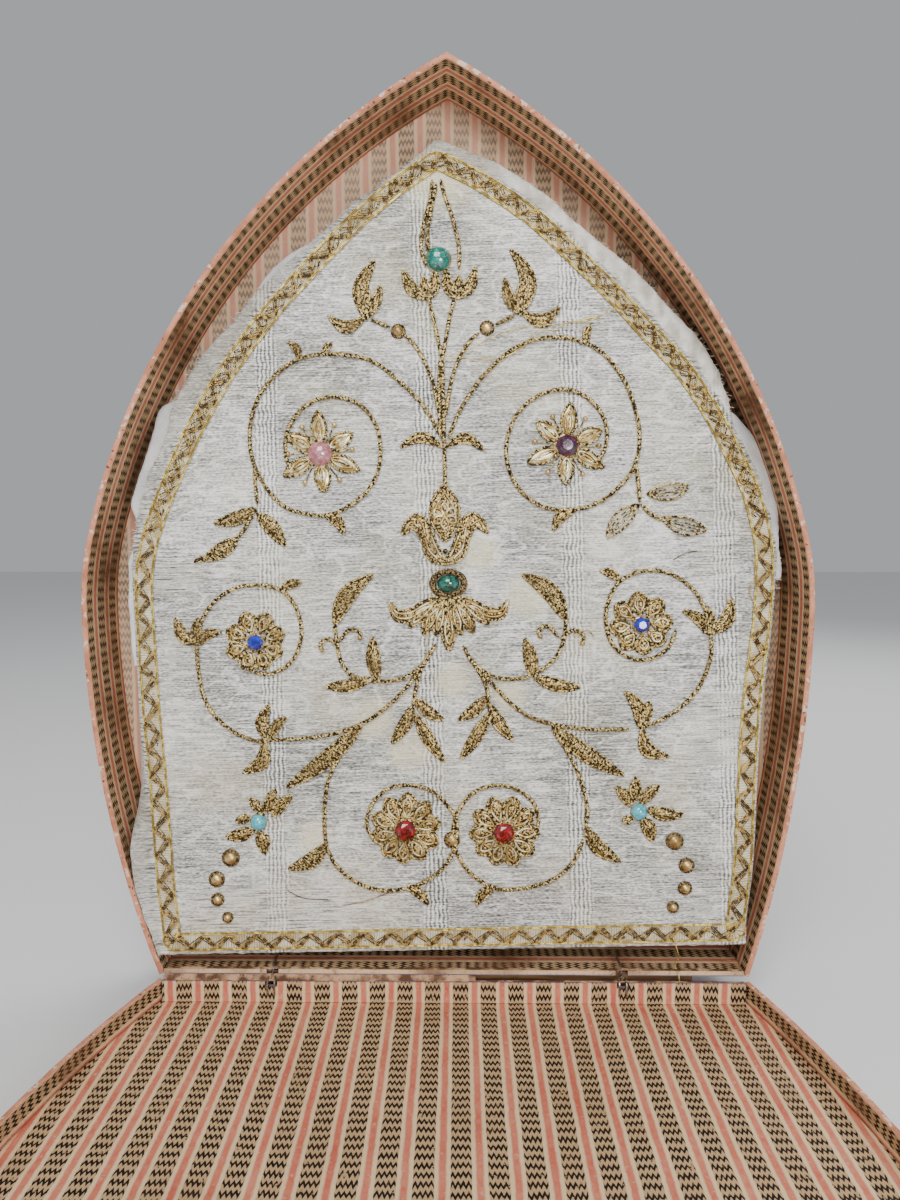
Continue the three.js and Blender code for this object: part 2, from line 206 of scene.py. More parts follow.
def rgb(red, green, blue):
    """A colour as the eye names it, from 0 to 255, turned into light."""
    return (*(((c / 255 + 0.055) / 1.055) ** 2.4 if c > 10 else c / 3294 for c in (red, green, blue)), 1)


def object_vector(start):
    """The Object coordinates as one vector, in metres."""
    return start.node("TexCoord", output="Object")


def object_place(start):
    """The Object coordinates: the whole vector, and x, y and z in mm."""
    vector = object_vector(start)
    return vector, *(start.node("SeparateXYZ", {0: vector}, output=i) * (1 / MM) for i in range(3))


def cloth_place(start):
    """The piece's own UV map: the whole vector, and its two coordinates in mm."""
    vector = start.node("UVMap", uv_map="UVMap")
    return vector, *(start.node("SeparateXYZ", {0: vector}, output=i) * (1 / MM) for i in range(2))


FINISHES = {}


def material(name, paint, **constants):
    """Files a material under its name, from a function that gives the sockets that vary, and constants."""
    made = bpy.data.materials.new(name)
    made.use_nodes = True
    shader = made.node_tree.nodes["Principled BSDF"]
    for socket, value in constants.items():
        shader.inputs[socket.replace("_", " ")].default_value = value
    for socket, value in paint(Socket(made.node_tree, None)).items():
        made.node_tree.links.new(value.link, shader.inputs[socket])
    print("finish", name, len(made.node_tree.nodes), "nodes")
    FINISHES[name] = made

# %% [markdown]
# The case is lined with block-printed paper. Its pattern repeats every 13.4 mm: a coral stripe, a cream
# line, a tan band filled with rows of black chevrons, and a cream line again. The ink is uneven and the
# paper is browned and rubbed. The browning is real dirt, and on the walls and the foot wall it is laid
# on heavily as painted shade too. The pattern is one function of two distances, across and along the
# stripes, so that each surface can lay it in its own direction.

# %% Printed paper
REPEAT = 13.4
CORAL_HALF = 1.3
BAND_HALF = 3.75
CHEVRON_PEAK = 0.94                          # half the width of one peak of a chevron row
CHEVRON_ROW = 4.5
CREAM, TAN = rgb(228, 198, 158), rgb(190, 158, 118)
CORAL, INK = rgb(202, 98, 80), rgb(16, 12, 14)
GRIME_AND_SHADE, BARE, FADED = rgb(104, 66, 42), rgb(212, 166, 134), rgb(250, 220, 192)


def printed(vector, across, along, grime_and_shade=0.25, fade=0.0):
    """Colour and ink of the printed paper, from the distances across and along its stripes."""
    wander = vector.noise(9, 2) - 0.5
    fine = vector.noise(1.1, 2) - 0.5
    s = (across + wander * 0.8 + fine * 0.35).wrap(REPEAT / 2)
    smear = vector.noise(3.0, 3) - 0.5
    coral = 1 - (s.size() + smear * 0.9).rise(CORAL_HALF - 0.4, CORAL_HALF + 0.5)
    band = s.size().rise(REPEAT / 2 - BAND_HALF - 0.2, REPEAT / 2 - BAND_HALF + 0.2)
    peak = across.math("PINGPONG", across + REPEAT / 2 + fine * 0.3, CHEVRON_PEAK)
    row = (along - peak * 2.3 + wander * 2.6 + fine * 0.9).wrap(CHEVRON_ROW / 2)
    chevron = (1 - row.size().rise(0.8, 1.2)) * band
    missing = vector.noise(2.6, 3).rise(0.62, 0.7)
    ink = chevron * (1 - missing * 0.85)
    patches = vector.noise(38, 4)
    base = band.colour(CREAM, TAN)
    base = (coral * (0.55 + patches * 0.6 + smear * 0.5) * (1 - missing * 0.4)).colour(base, CORAL)
    base = ink.colour(base, INK)
    # Painted shade: this browning is real dirt, but laid on heavily it also stands in for the shadow on the
    # walls and the foot wall.
    soiled_and_shaded = (patches.rise(0.42, 0.8) * 0.6 + vector.noise(1.6, 3).rise(0.5, 0.9) * 0.4) * grime_and_shade * 2
    base = soiled_and_shaded.colour(base, GRIME_AND_SHADE)
    rubbed = vector.noise(6, 5).rise(0.7, 0.76) * 0.7
    base = (patches * fade).colour(base, FADED) if fade else base
    return rubbed.colour(base, BARE), ink


def print_on(across_axis, along_axis, grime_and_shade, shift=0.0, fade=0.0):
    """A paint function for a flat lining whose stripes follow one of the object's axes."""
    def paint(start):
        vector, *xyz = object_place(start)
        across, along = xyz[across_axis] + shift, xyz[along_axis]
        colour, ink = printed(vector, across, along, grime_and_shade, fade)
        surface = vector.noise(0.9, 3) * 0.5 + ink * 0.25 + vector.noise(14, 2) * 1.6
        return {"Base Color": colour, "Normal": surface.bump(0.35),
                "Roughness": 0.9 - ink * 0.22}
    return paint


def print_on_wall(start):
    """The same print on a bent wall: its UV map runs along the wall and down from the rim."""
    vector, along, down = cloth_place(start)
    # Painted shade: the heavy browning (0.85) darkens the whole wall lining as shade, over its real dirt.
    colour, ink = printed(vector, down + 3.2, along, 0.85)
    worn = (down + (vector.noise(7, 4) - 0.5) * 3.2).rise(0.5, 1.3)
    colour = worn.colour(BARE, colour)
    surface = vector.noise(0.9, 3) * 0.5 + ink * 0.25 + vector.noise(14, 2) * 1.6
    return {"Base Color": colour, "Normal": surface.bump(0.35), "Roughness": 0.9 - ink * 0.22}


material("wall_lining", print_on_wall, Specular_IOR_Level=0.25)

# %% [markdown]
# Outside, the case is covered with a plain violet-grey paper, of which only scraps show at the corners.
# It has faded and rubbed through to the board in spots. The rims have lost their paper altogether,
# and show pale pink board with dirt in its fibres.

# %% Outer paper and bare board
def outer_paper(start):
    vector = object_vector(start)
    cloud, grain = vector.noise(26, 4), vector.noise(1.2, 3)
    colour = cloud.rise(0.3, 0.75).colour(rgb(96, 84, 104), rgb(138, 122, 136))
    colour = (grain.rise(0.55, 0.75) * 0.35).colour(colour, rgb(178, 160, 150))
    rubbed = vector.noise(11, 6).rise(0.66, 0.72)
    return {"Base Color": (rubbed * 0.8).colour(colour, BARE),
            "Normal": (grain + cloud * 2).bump(0.3), "Roughness": 0.8 + grain * 0.15}


def bare_board(start):
    vector = object_vector(start)
    fibre, patch = vector.noise(1.0, 4), vector.noise(9, 4)
    colour = patch.rise(0.35, 0.7).colour(rgb(222, 152, 122), rgb(190, 122, 92))
    colour = (fibre.rise(0.5, 0.8) * 0.5).colour(colour, rgb(150, 104, 80))
    colour = vector.noise(2.4, 5).rise(0.62, 0.67).colour(colour, rgb(110, 74, 58))
    flecks = vector.noise(3.2, 5).rise(0.57, 0.64)
    return {"Base Color": (flecks * 0.75).colour(colour, rgb(236, 214, 190)),
            "Normal": (fibre + patch).bump(0.4), "Roughness": 0.82 + fibre * 0.12}


material("outer_paper", outer_paper, Specular_IOR_Level=0.2)
material("bare_board", bare_board, Specular_IOR_Level=0.2)


def board_faces(inside, towards, edge):
    """A board's finish: the print on the side that faces into the case, plain paper on the other."""
    def paint(start):
        _, *xyz = object_place(start)
        lining, cover = inside(start), outer_paper(start)
        outer = (xyz[towards[0]] * towards[1]).rise(edge - 0.05, edge + 0.05)
        return {"Base Color": outer.colour(lining["Base Color"], cover["Base Color"]),
                "Normal": lining["Normal"], "Roughness": lining["Roughness"]}
    return paint


X, Y, Z = 0, 1, 2
for name, inside, towards, edge in (
        ("case_back", print_on(X, Z, 0.05, 0.0, 0.7), (Y, 1), BOARD_FRONT / MM + 0.5),
        ("lid_floor", print_on(X, Y, 0.16), (Z, -1), 0.5 - LID_FLOOR / MM),
        # Painted shade: the foot wall's heavy browning (0.75) stands in for its shadow as well as for dirt.
        ("foot_wall", print_on(Y, X, 0.75, 10.0), (Z, -1), 2.0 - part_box("case_wall_foot")[1].z / MM),
        ("lid_foot_wall", print_on(X, Z, 0.1), (Y, 1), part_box("lid_wall_foot")[0].y / MM + 0.4)):
    material(name, board_faces(inside, towards, edge), Specular_IOR_Level=0.22)

# %% [markdown]
# The walls of the case are strips of board bent to a pointed outline. Each side is three arcs: a long
# one from the foot, a tighter shoulder, and another long one up to the point. The outline is drawn with
# the same arcs as the frame's, and inset by the board's thickness for the inner side.

# %% Outlines made of arcs
BOARD = 2.5
CASE_HALF_WIDTH, CASE_WIDEST = 172, 179
CASE_FOOT_LEFT, CASE_FOOT_RIGHT = 141, 147


def arc(centre, radius, start, end, steps):
    """Points along a circle in mm, from one angle to another."""
    turns = [start + (end - start) * i / steps for i in range(steps + 1)]
    return [(centre[0] + radius * math.cos(a), centre[1] + radius * math.sin(a)) for a in turns]


def case_side(foot, inset):
    """One side of the case, from its foot up to the point."""
    swell = CASE_HALF_WIDTH - foot
    radius = (swell ** 2 + CASE_WIDEST ** 2) / (2 * swell)
    low = -math.asin(CASE_WIDEST / (radius - inset))
    lower = arc((CASE_HALF_WIDTH - radius, CASE_WIDEST), radius - inset, low, 0, 60)
    turn, shoulder, long_side = math.radians(14.1), 139, 334.6
    middle = CASE_HALF_WIDTH - shoulder
    far = (middle + (shoulder - long_side) * math.cos(turn),
           CASE_WIDEST + (shoulder - long_side) * math.sin(turn))
    upper = arc((middle, CASE_WIDEST), shoulder - inset, 0, turn, 12)
    tip = math.acos(-far[0] / (long_side - inset))
    return lower + upper[1:] + arc(far, long_side - inset, turn, tip, 96)[1:]


def case_outline(inset):
    """The whole outline without its foot: up the left side and down the right."""
    left = [(-x, z) for x, z in case_side(CASE_FOOT_LEFT, inset)]
    return left + case_side(CASE_FOOT_RIGHT, inset)[::-1][1:]


print("case outline", len(case_outline(BOARD)), "points")

# %% [markdown]
# A wall starts as a line of edges along the inner outline. Extruding the line across its depth makes the
# strip, and a Solidify modifier gives it the board's thickness outwards, with its own finish outside and
# on the rim. Before that, the rim's points are nudged up and down, so that the edge is worn as card is.

# %% Case and lid walls
def finished(bm, name, finishes, body, smooth=True):
    """Turns a bmesh into a piece that rides on a body."""
    data = bpy.data.meshes.new(name)
    bm.to_mesh(data)
    bm.free()
    data.shade_smooth() if smooth else data.shade_flat()
    piece = bpy.data.objects.new(name, data)
    bpy.context.scene.collection.objects.link(piece)
    for finish in finishes:
        data.materials.append(FINISHES[finish])
    if body:
        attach(piece, body)
    print("made", name, len(data.polygons), "faces")
    return piece


def wobble(x, y, size, seed=0.0):
    """Smooth noise between about -1 and 1, with features of that size in mm."""
    return noise.noise(Vector((x / size, y / size, seed)))


def side_wall(name, body, place, depth, rows, nodes):
    """A bent wall: place(x, z, down) gives a point of the strip, down mm below its rim."""
    outline = case_outline(BOARD)
    bm = bmesh.new()
    uv = bm.loops.layers.uv.new("UVMap")
    along, down = (bm.verts.layers.float.new(n) for n in ("along", "down"))
    travelled, before, line = 0.0, outline[0], []
    for x, z in outline:
        travelled += math.dist(before, (x, z))
        before = (x, z)
        vert = bm.verts.new((x, z, 0))
        vert[along] = travelled
        line.append(vert)
    edges = [bm.edges.new(pair) for pair in zip(line, line[1:])]
    for _ in range(rows):
        made = bmesh.ops.extrude_edge_only(bm, edges=edges)["geom"]
        edges = [g for g in made if isinstance(g, bmesh.types.BMEdge) and all(v in made for v in g.verts)]
        for vert in {v for e in edges for v in e.verts}:
            vert[down] += depth / rows
    for vert in bm.verts:
        step, distance = vert[down], vert[along]
        wear = 0.35 * wobble(distance, 0, 9) + 0.25 * wobble(distance, 0, 2.2, 4)
        sunk = max(0.0, wear) + 0.12 if step == 0 else 0.0
        bulge = 0.35 * wobble(distance, step, 55, 7) * min(1, step / 6) * min(1, (depth - step) / 6)
        x, z = vert.co.x, vert.co.y
        reach = 1 - bulge / max(math.hypot(x, z - 180), 1)
        vert.co = place(x * reach, 180 + (z - 180) * reach, step + sunk)
    for face in bm.faces:
        for loop in face.loops:
            loop[uv].uv = (loop.vert[along] * MM, loop.vert[down] * MM)
    bmesh.ops.recalc_face_normals(bm, faces=bm.faces)
    inside = Vector(place(0, 180, depth / 2))
    probe = min(bm.faces, key=lambda f: (f.calc_center_median() - Vector(place(-170, 180, 9))).length)
    if probe.normal.dot(inside - probe.calc_center_median()) < 0:
        bmesh.ops.reverse_faces(bm, faces=bm.faces)
    piece = finished(bm, name, ("wall_lining", "outer_paper", "bare_board"), body)
    thick = piece.modifiers.new("board", "SOLIDIFY")
    thick.thickness, thick.offset = BOARD * MM * 0.98, -1
    thick.material_offset, thick.material_offset_rim = 1, 2
    thick.use_even_offset = True
    round_off = piece.modifiers.new("worn_corners", "BEVEL")
    round_off.width, round_off.segments, round_off.limit_method = 0.5 * MM, 2, "ANGLE"
    round_off.angle_limit = math.radians(50)
    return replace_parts(piece, *nodes)


side_wall(
    "case_side_walls", "case", lambda x, z, down: (x * MM, RIM_Y + down * MM, CASE_Z + z * MM),
    (WALL_BACK - RIM_Y) / MM, 10, ("case_wall_left", "case_wall_right"))
side_wall(
    "lid_side_walls", "lid", lambda x, z, down: (x * MM, LID_BACK - z * MM, LID_TOP - down * MM),
    (LID_TOP - LID_FLOOR) / MM - 0.3, 5, ("lid_wall_left", "lid_wall_right"))

# %% [markdown]
# The boards, the two walls at the hinge, the batten and the hinge wires have the right shape already,
# so the frame's own pieces stay and only get finishes. The batten is old pine, darkened and scratched,
# and the wires are iron with rust in their bends.

# %% Finishes for the frame's own pieces
def old_wood(start):
    vector, _, _, z = object_place(start)
    grain = vector.noise(3.5, 5, (22, 1, 1))
    rings = (z + grain * 9 + vector.noise(60, 2) * 14).wave(5.5)
    colour = (rings * 0.6 + grain * 0.4).colour(rgb(94, 62, 38), rgb(150, 108, 66))
    dark = vector.noise(24, 4).rise(0.5, 0.75)
    return {"Base Color": (dark * 0.6).colour(colour, rgb(58, 38, 26)),
            "Normal": (rings * 0.3 + grain).bump(0.5), "Roughness": 0.6 + grain * 0.25}


def iron_wire(start):
    vector = object_vector(start)
    rust = vector.noise(1.4, 4).rise(0.48, 0.6)
    return {"Base Color": rust.colour(rgb(168, 162, 150), rgb(108, 66, 42)), "Metallic": 1 - rust * 0.8,
            "Roughness": 0.35 + rust * 0.45, "Normal": rust.bump(0.12)}


material("batten_wood", old_wood)
material("hinge_wire", iron_wire)
KEPT = {"case_board": "case_back", "lid_board": "lid_floor", "case_wall_foot": "foot_wall",
        "lid_wall_foot": "lid_foot_wall", "case_batten": "batten_wood"}
for side in ("left", "right"):
    KEPT["case_hinge_eye_" + side] = KEPT["lid_hinge_staple_" + side] = "hinge_wire"
for node, finish in KEPT.items():
    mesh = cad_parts[node].data
    mesh.materials.clear()
    mesh.materials.append(FINISHES[finish])
print("kept", len(KEPT), "pieces of the frame")

# %% [markdown]
# A strip of paper once joined the two halves along the hinge. It has torn away on the right, where the
# gap shows dark, and its edges are frayed on the left. It is a thin grid laid over the gap, from the rim
# of the standing half to the top of the lid. A second torn strip still covers the top of the lid's foot
# wall.

# %% Torn paper at the hinge
def torn_strip(name, start, end, lower, upper, steps=150, seed=0.0, fray=1.6):
    """A paper strip along X between two lines (y, z) in metres, both given as functions of x in mm."""
    bm = bmesh.new()
    bmesh.ops.create_grid(bm, x_segments=steps, y_segments=6, size=1)
    for vert in bm.verts:
        x = start + (end - start) * (vert.co.x + 1) / 2
        t = (vert.co.y + 1) / 2
        edge = fray * MM * (wobble(x, 0, 5, seed) + 0.6 * wobble(x, 0, 1.3, seed + 3))
        a, b = Vector(lower(x)), Vector(upper(x))
        spot = a.lerp(b, t) + (b - a).normalized() * edge * max(0, 2 * t - 1)
        spot += Vector((0, 0.35 * MM * wobble(x, t * 9, 4, seed + 9)))
        vert.co = (x * MM, spot.x, spot.y)
    bmesh.ops.recalc_face_normals(bm, faces=bm.faces)
    return finished(bm, name, ("torn_paper",), None)


def torn_paper(start):
    vector = object_vector(start)
    fibre, patch = vector.noise(1.1, 4), vector.noise(7, 4)
    colour = patch.rise(0.35, 0.6).colour(rgb(196, 158, 124), rgb(96, 68, 50))
    colour = fibre.rise(0.6, 0.72).colour(colour, rgb(62, 44, 38))
    return {"Base Color": colour, "Normal": (fibre + patch * 2).bump(0.4), "Roughness": 0.85 + fibre * 0.1}


material("torn_paper", torn_paper, Specular_IOR_Level=0.2)
FOOT_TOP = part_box("case_wall_foot")[0].z + BOARD * MM
LID_FOOT_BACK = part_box("lid_wall_foot")[1].y
strip = torn_strip(
    "hinge_paper", -138, 14,
    lambda x: (RIM_Y + 0.4 * MM, CASE_Z + 0.2 * MM),
    lambda x: (LID_FOOT_BACK - 1.4 * MM, LID_TOP + 0.15 * MM),
    seed=2.0, fray=0.9)
sheet_thickness = strip.modifiers.new("paper", "SOLIDIFY")
sheet_thickness.thickness = 0.25 * MM
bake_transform(strip)

for name, body, lower, upper, seed in (
        ("lid_foot_torn_edge", "lid",
         lambda x: (LID_FOOT_BACK - 0.3 * MM, LID_TOP + 0.15 * MM),
         lambda x: (LID_FOOT_BACK - 1.3 * MM, LID_TOP + 0.2 * MM), 5.0),
        ("case_foot_torn_edge", "case",
         lambda x: (RIM_Y + 0.1 * MM, FOOT_TOP + 0.1 * MM),
         lambda x: (RIM_Y + 1.5 * MM, FOOT_TOP + 0.2 * MM), 8.0)):
    edge_strip = torn_strip(name, -137, 143, lower, upper, 240, seed, 1.3)
    edge_strip.modifiers.new("paper", "SOLIDIFY").thickness = 0.25 * MM
    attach(edge_strip, body)

# %% [markdown]
# The mitre lies in a frame of its own: u runs to the right and v up along its front, in mm from the
# middle of its foot. It leans back into the case and a little to the left. The front isn't quite flat.
# The old silk has sunk and puckered, so one function gives its relief, and every cord and stone uses it.

# %% The mitre's own frame
FACE_HALF_WIDTH, FACE_FOOT, FACE_WAIST, FACE_SHOULDER, FACE_TIP = 155.5, 143.6, 90, 180, 386.9
MITRE_ORIGIN = Vector((3.2 * MM, RIM_Y - 0.5 * MM, CASE_Z + 13.7 * MM))
TILT, LEAN = math.radians(4.66), math.radians(1.3)
UP_SLOPE = Vector((0, math.sin(TILT), math.cos(TILT)))
U_AXIS = Vector((math.cos(LEAN), 0, 0)) + UP_SLOPE * math.sin(LEAN)
V_AXIS = Vector((-math.sin(LEAN), 0, 0)) + UP_SLOPE * math.cos(LEAN)
OUT_AXIS = Vector((0, -math.cos(TILT), math.sin(TILT)))


def relief(u, v):
    """How far the silk stands out at a place, in mm."""
    return 0.22 * wobble(u, v, 38, 1) + 0.12 * wobble(u, v * 2.5, 16, 2)


def on_face(u, v, out=0.0):
    """A point out mm in front of the silk at (u, v), in metres."""
    return MITRE_ORIGIN + (U_AXIS * u + V_AXIS * v + OUT_AXIS * (out + relief(u, v))) * MM


def face_half(v):
    """Half the width of the mitre's front at a height."""
    if v <= FACE_SHOULDER:
        t = min(1, max(0, (v - FACE_WAIST) / (FACE_SHOULDER - FACE_WAIST)))
        return FACE_FOOT + (FACE_HALF_WIDTH - FACE_FOOT) * t * t * (3 - 2 * t)
    radius, turn, long_side = 126, math.radians(27.7), 375
    centre = FACE_HALF_WIDTH - radius
    if v < FACE_SHOULDER + radius * math.sin(turn):
        return centre + math.sqrt(radius ** 2 - (v - FACE_SHOULDER) ** 2)
    far = (centre + (radius - long_side) * math.cos(turn),
           FACE_SHOULDER + (radius - long_side) * math.sin(turn))
    return far[0] + math.sqrt(max(0, long_side ** 2 - (v - far[1]) ** 2))


def face_of(point):
    """The (u, v) of a point of the object, in mm."""
    away = (Vector(point) - MITRE_ORIGIN) / MM
    flat = away - OUT_AXIS * away.dot(OUT_AXIS)
    return flat.dot(U_AXIS), flat.dot(V_AXIS)


print("mitre", round(2 * face_half(0)), "mm wide at its foot,", round(2 * face_half(180)), "at its widest")

# %% [markdown]
# The silk is ribbed and watered: very fine horizontal ribs, and pressed into them tall bands of wavy
# lines. It has greyed, split along its ribs and lost its edge. Its finish reads a UV map laid out in mm,
# so that a rib stays a rib where the cloth turns back, and a value for how far outside the trimming a
# place lies.

# %% Watered silk
def round_spot(u, v, place, radius):
    """1 near a place on the cloth, fading out at the radius."""
    du, dv = u - place[0], v - place[1]
    squared = du * du + dv * dv
    return 1 - squared.math("SQRT", squared).rise(radius * 0.3, radius)


WATERED = (-85, -8, 62, 135)
SPILT_GLUE = (((0, 373), 22), ((17, 192), 13), ((40, 171), 16), ((-36, 112), 14), ((2, 130), 12),
              ((-66, 55), 12), ((30, 122), 12), ((-20, 96), 14))
FRAYED = (((133, 104), 17, 18, 1.0), ((-130, 182), 13, 9, 1.0), ((-131, 95), 12, 38, 0.5),
          ((-95, 20), 58, 15, 0.75), ((-128, 150), 11, 16, 0.5), ((128, 190), 14, 26, 0.45),
          ((118, 30), 26, 26, 0.35), ((60, 296), 38, 12, 0.3))


def zone(u, v, place, wide, high):
    """1 inside an oval zone, with a soft edge."""
    du, dv = (u - place[0]) / wide, (v - place[1]) / high
    return 1 - (du * du + dv * dv).rise(0.35, 1.2)


def silk(start, plain=False):
    vector, u, v = cloth_place(start)
    drift = vector.noise(34, 2) - 0.5
    streak = vector.noise(1.5, 4, (9, 0.42, 1))
    hair = vector.noise(0.8, 3, (16, 0.45, 1))
    long_rib = vector.noise(1.3, 2, (60, 0.6, 1))
    grit = vector.noise(0.75, 4, (2.4, 0.9, 1))
    cloud = vector.noise(62, 3)
    ribs = (v + drift * 1.6).wave(1.25)
    figure = (vector.noise(26, 2, (1.5, 0.7, 1)) * 7).wrap(0.5).size()
    watered = 1 - figure.rise(0.05, 0.16)
    lines = (u + (vector.noise(5, 1, (2, 1, 1)) - 0.5) * 2.6).wave(2.0)
    bands = None
    for middle in WATERED:
        here = 1 - (u - middle + drift * 7).size().rise(3.5, 7)
        bands = here if bands is None else bands.math("MAXIMUM", bands, here)
    tone_and_sheen = streak * 0.8 + (cloud - 0.5) * 0.5 + (watered - 0.2) * 0.12 + hair * 0.35 + long_rib * 0.3 - 0.7
    tone_and_sheen = tone_and_sheen + grit * 0.95 + bands * (lines - 0.42) * (0.2 + grit * 0.4)
    # Partly painted sheen: the silk's streaky figure is its own, but the near-white top of this range stands
    # in for its highlights.
    colour = tone_and_sheen.rise(0.14, 0.84).colour(rgb(66, 68, 66), rgb(255, 255, 250))
    warm = vector.noise(48, 3).rise(0.42, 0.75) * 0.4
    colour = warm.colour(colour, rgb(206, 194, 158))
    for place, radius in SPILT_GLUE:
        glue = round_spot(u, v, place, radius) * (0.35 + vector.noise(7, 3) * 0.7)
        colour = (glue * 0.75).colour(colour, rgb(244, 236, 196))
    threads = vector.noise(1.0, 4, (16, 0.9, 1))
    worn = None
    for place, wide, high, strength in FRAYED:
        here = zone(u, v, place, wide, high) * strength
        worn = here if worn is None else worn + here
    colour = (worn * threads.rise(0.5, 0.58) * 0.85).colour(colour, rgb(240, 238, 228))
    colour = (worn * (1 - threads.rise(0.36, 0.43)) * 0.9).colour(colour, rgb(70, 64, 58))
    specks = (1 - vector.noise(1.6, 3, (3.5, 0.6, 1)).rise(0.24, 0.3)) * 0.7
    colour = specks.colour(colour, rgb(84, 76, 66))
    height = ribs * 0.12 + streak * 0.35 + hair * 0.3 + grit * 0.25
    height = height + bands * lines * 0.22 + worn * threads * 0.7
    return {"Base Color": colour, "Normal": height.bump(0.5),
            "Roughness": 0.5 + streak * 0.2 - watered * 0.06}


def silk_margin(start):
    """Outside the trimming the silk is greyer and slit by short dark ticks, and white at the upper right."""
    made = silk(start)
    vector, u, v = cloth_place(start)
    outside = start.node("Attribute", output=2, attribute_name="outside")
    tick = (1 - (v + (vector.noise(5, 2) - 0.5) * 4).wrap(1.15).size().rise(0.22, 0.5))
    tick = tick * outside.rise(-1.5, 0.5) * (1 - outside.rise(2.0, 6.0)) * vector.noise(9, 2).rise(0.45, 0.6)
    grey = outside.rise(-0.5, 3.0) * 0.35
    colour = grey.colour(made["Base Color"], rgb(150, 146, 136))
    turned = (outside + (vector.noise(9, 2) - 0.5) * 2).rise(2.0, 3.0) * u.rise(20, 40) * v.rise(222, 240)
    # Painted shade: the white cloth is greyed in streaks that stand in for the shade in its creases.
    shaded_creases = vector.noise(6, 3, (1, 1.6, 1)).rise(0.3, 0.7).colour(rgb(190, 186, 172), rgb(252, 250, 244))
    colour = (turned * 0.9).colour(colour, shaded_creases)
    made["Base Color"] = (tick * 0.8).colour(colour, rgb(52, 46, 42))
    return made


def lining_cloth(start):
    vector, u, v = cloth_place(start)
    weave = (u.wave(0.9) * v.wave(0.9))
    folds_and_shade = vector.noise(14, 3)
    # Painted shade: the cloth is greyer where its folds sink and whiter where they rise.
    colour = folds_and_shade.rise(0.3, 0.75).colour(rgb(222, 224, 226), rgb(252, 253, 254))
    stain = vector.noise(30, 4).rise(0.6, 0.75) * 0.4
    return {"Base Color": stain.colour(colour, rgb(196, 182, 152)),
            "Normal": (weave * 0.3 + folds_and_shade * 1.5).bump(0.35), "Roughness": 0.82 + weave * 0.1}


material("moire_silk", silk_margin, Sheen_Weight=0.25, Sheen_Roughness=0.4)
material("plain_silk", silk, Sheen_Weight=0.25, Sheen_Roughness=0.4)
material("lining", lining_cloth, Sheen_Weight=0.15)

# %% [markdown]
# The front and the back of the mitre are each one sheet of silk. A grid is laid between the two edges, row
# by row, so its sides follow the outline closely enough to fray. Below the shoulders the sides turn back
# to the seam, and above them the edge is left ragged. The finish of the inner side is the lining.

# %% The edges of silk, trimming and lining
TRIM_LEFT = [(0, 140.5), (10, 141), (30, 143), (60, 144.7), (90, 146.2), (110, 147.8), (150, 149.7),
             (175, 150.5),
             (190, 149.5), (205, 146), (220, 140.5), (240, 131.5), (260, 121.5), (280, 109.5), (300, 95),
             (315, 82.5), (335, 63.5), (355, 43), (368, 27), (378, 13), (386, 0)]
TRIM_RIGHT = [(0, 141), (10, 141), (40, 145), (80, 147.5), (120, 151), (150, 155.5), (175, 158), (190, 158),
              (205, 155.7), (220, 151.8), (240, 143), (260, 132.8), (280, 120), (300, 102.5), (315, 89.5),
              (335, 70), (355, 49.5), (368, 32), (378, 16), (386, 0)]
SILK_LEFT = [(0, 142.5), (10, 146), (20, 149.6), (35, 153.6), (60, 155.5), (90, 153), (150, 152.5),
             (180, 152.5),
             (200, 151), (215, 148), (230, 144), (250, 134.5), (270, 128), (290, 115), (305, 101), (325, 83),
             (345, 59), (365, 35), (383, 9), (391, 1)]
SILK_RIGHT = [(0, 142), (10, 143), (30, 146), (60, 149), (100, 152), (150, 158), (170, 160), (190, 160),
              (210, 156), (230, 150.5), (250, 141), (270, 136), (290, 126), (305, 113), (325, 95), (335, 84),
              (345, 71), (355, 61), (365, 50), (380, 27), (391, 1)]
LINING_LEFT = [(130, 153), (150, 155.5), (190, 155.5), (200, 152), (210, 150.5), (218, 154), (224, 152),
               (240, 147), (250, 144), (261, 140), (268, 130), (285, 121), (296, 108), (312, 95), (325, 87.5),
               (335, 75.5), (341, 66), (350, 50), (372, 22)]
LINING_RIGHT = [(130, 156), (176, 164), (190, 163.5), (210, 163), (220, 161), (230, 159), (240, 154),
                (250, 146.5), (257, 139), (270, 135), (290, 124), (320, 98), (372, 36)]


def follow(table, v):
    """The distance from the middle line at a height, smoothly through a table of (height, distance)."""
    i = max(1, min(len(table) - 3, sum(1 for height, _ in table if height <= v) - 1))
    (v0, a), (v1, b), (v2, c), (v3, d) = table[i - 1:i + 3]
    if v < v1:
        return a + (b - a) * (v - v0) / (v1 - v0)
    if v > v2:
        return c + (d - c) * (v - v2) / (v3 - v2)
    t, span = (v - v1) / (v2 - v1), v2 - v1
    enter, leave = (c - a) / (v2 - v0) * span, (d - b) / (v3 - v1) * span
    return ((2 * t ** 3 - 3 * t * t + 1) * b + (t ** 3 - 2 * t * t + t) * enter
            + (3 * t * t - 2 * t ** 3) * c + (t ** 3 - t * t) * leave)


def trim_half(side, v):
    return follow(TRIM_RIGHT if side > 0 else TRIM_LEFT, v)


# %% What every sheet shares
def lay_uv(bm, flat):
    """A UV map from each point's place on the flat cloth, which is kept in mm."""
    uv = bm.loops.layers.uv.new("UVMap")
    for face in bm.faces:
        for loop in face.loops:
            loop[uv].uv = loop.vert[flat].xy * MM


def face_outwards(bm, outwards):
    """Recalculates the normals and turns them all outwards."""
    bmesh.ops.recalc_face_normals(bm, faces=bm.faces)
    if sum(face.normal.dot(outwards) for face in bm.faces) < 0:
        bmesh.ops.reverse_faces(bm, faces=bm.faces)


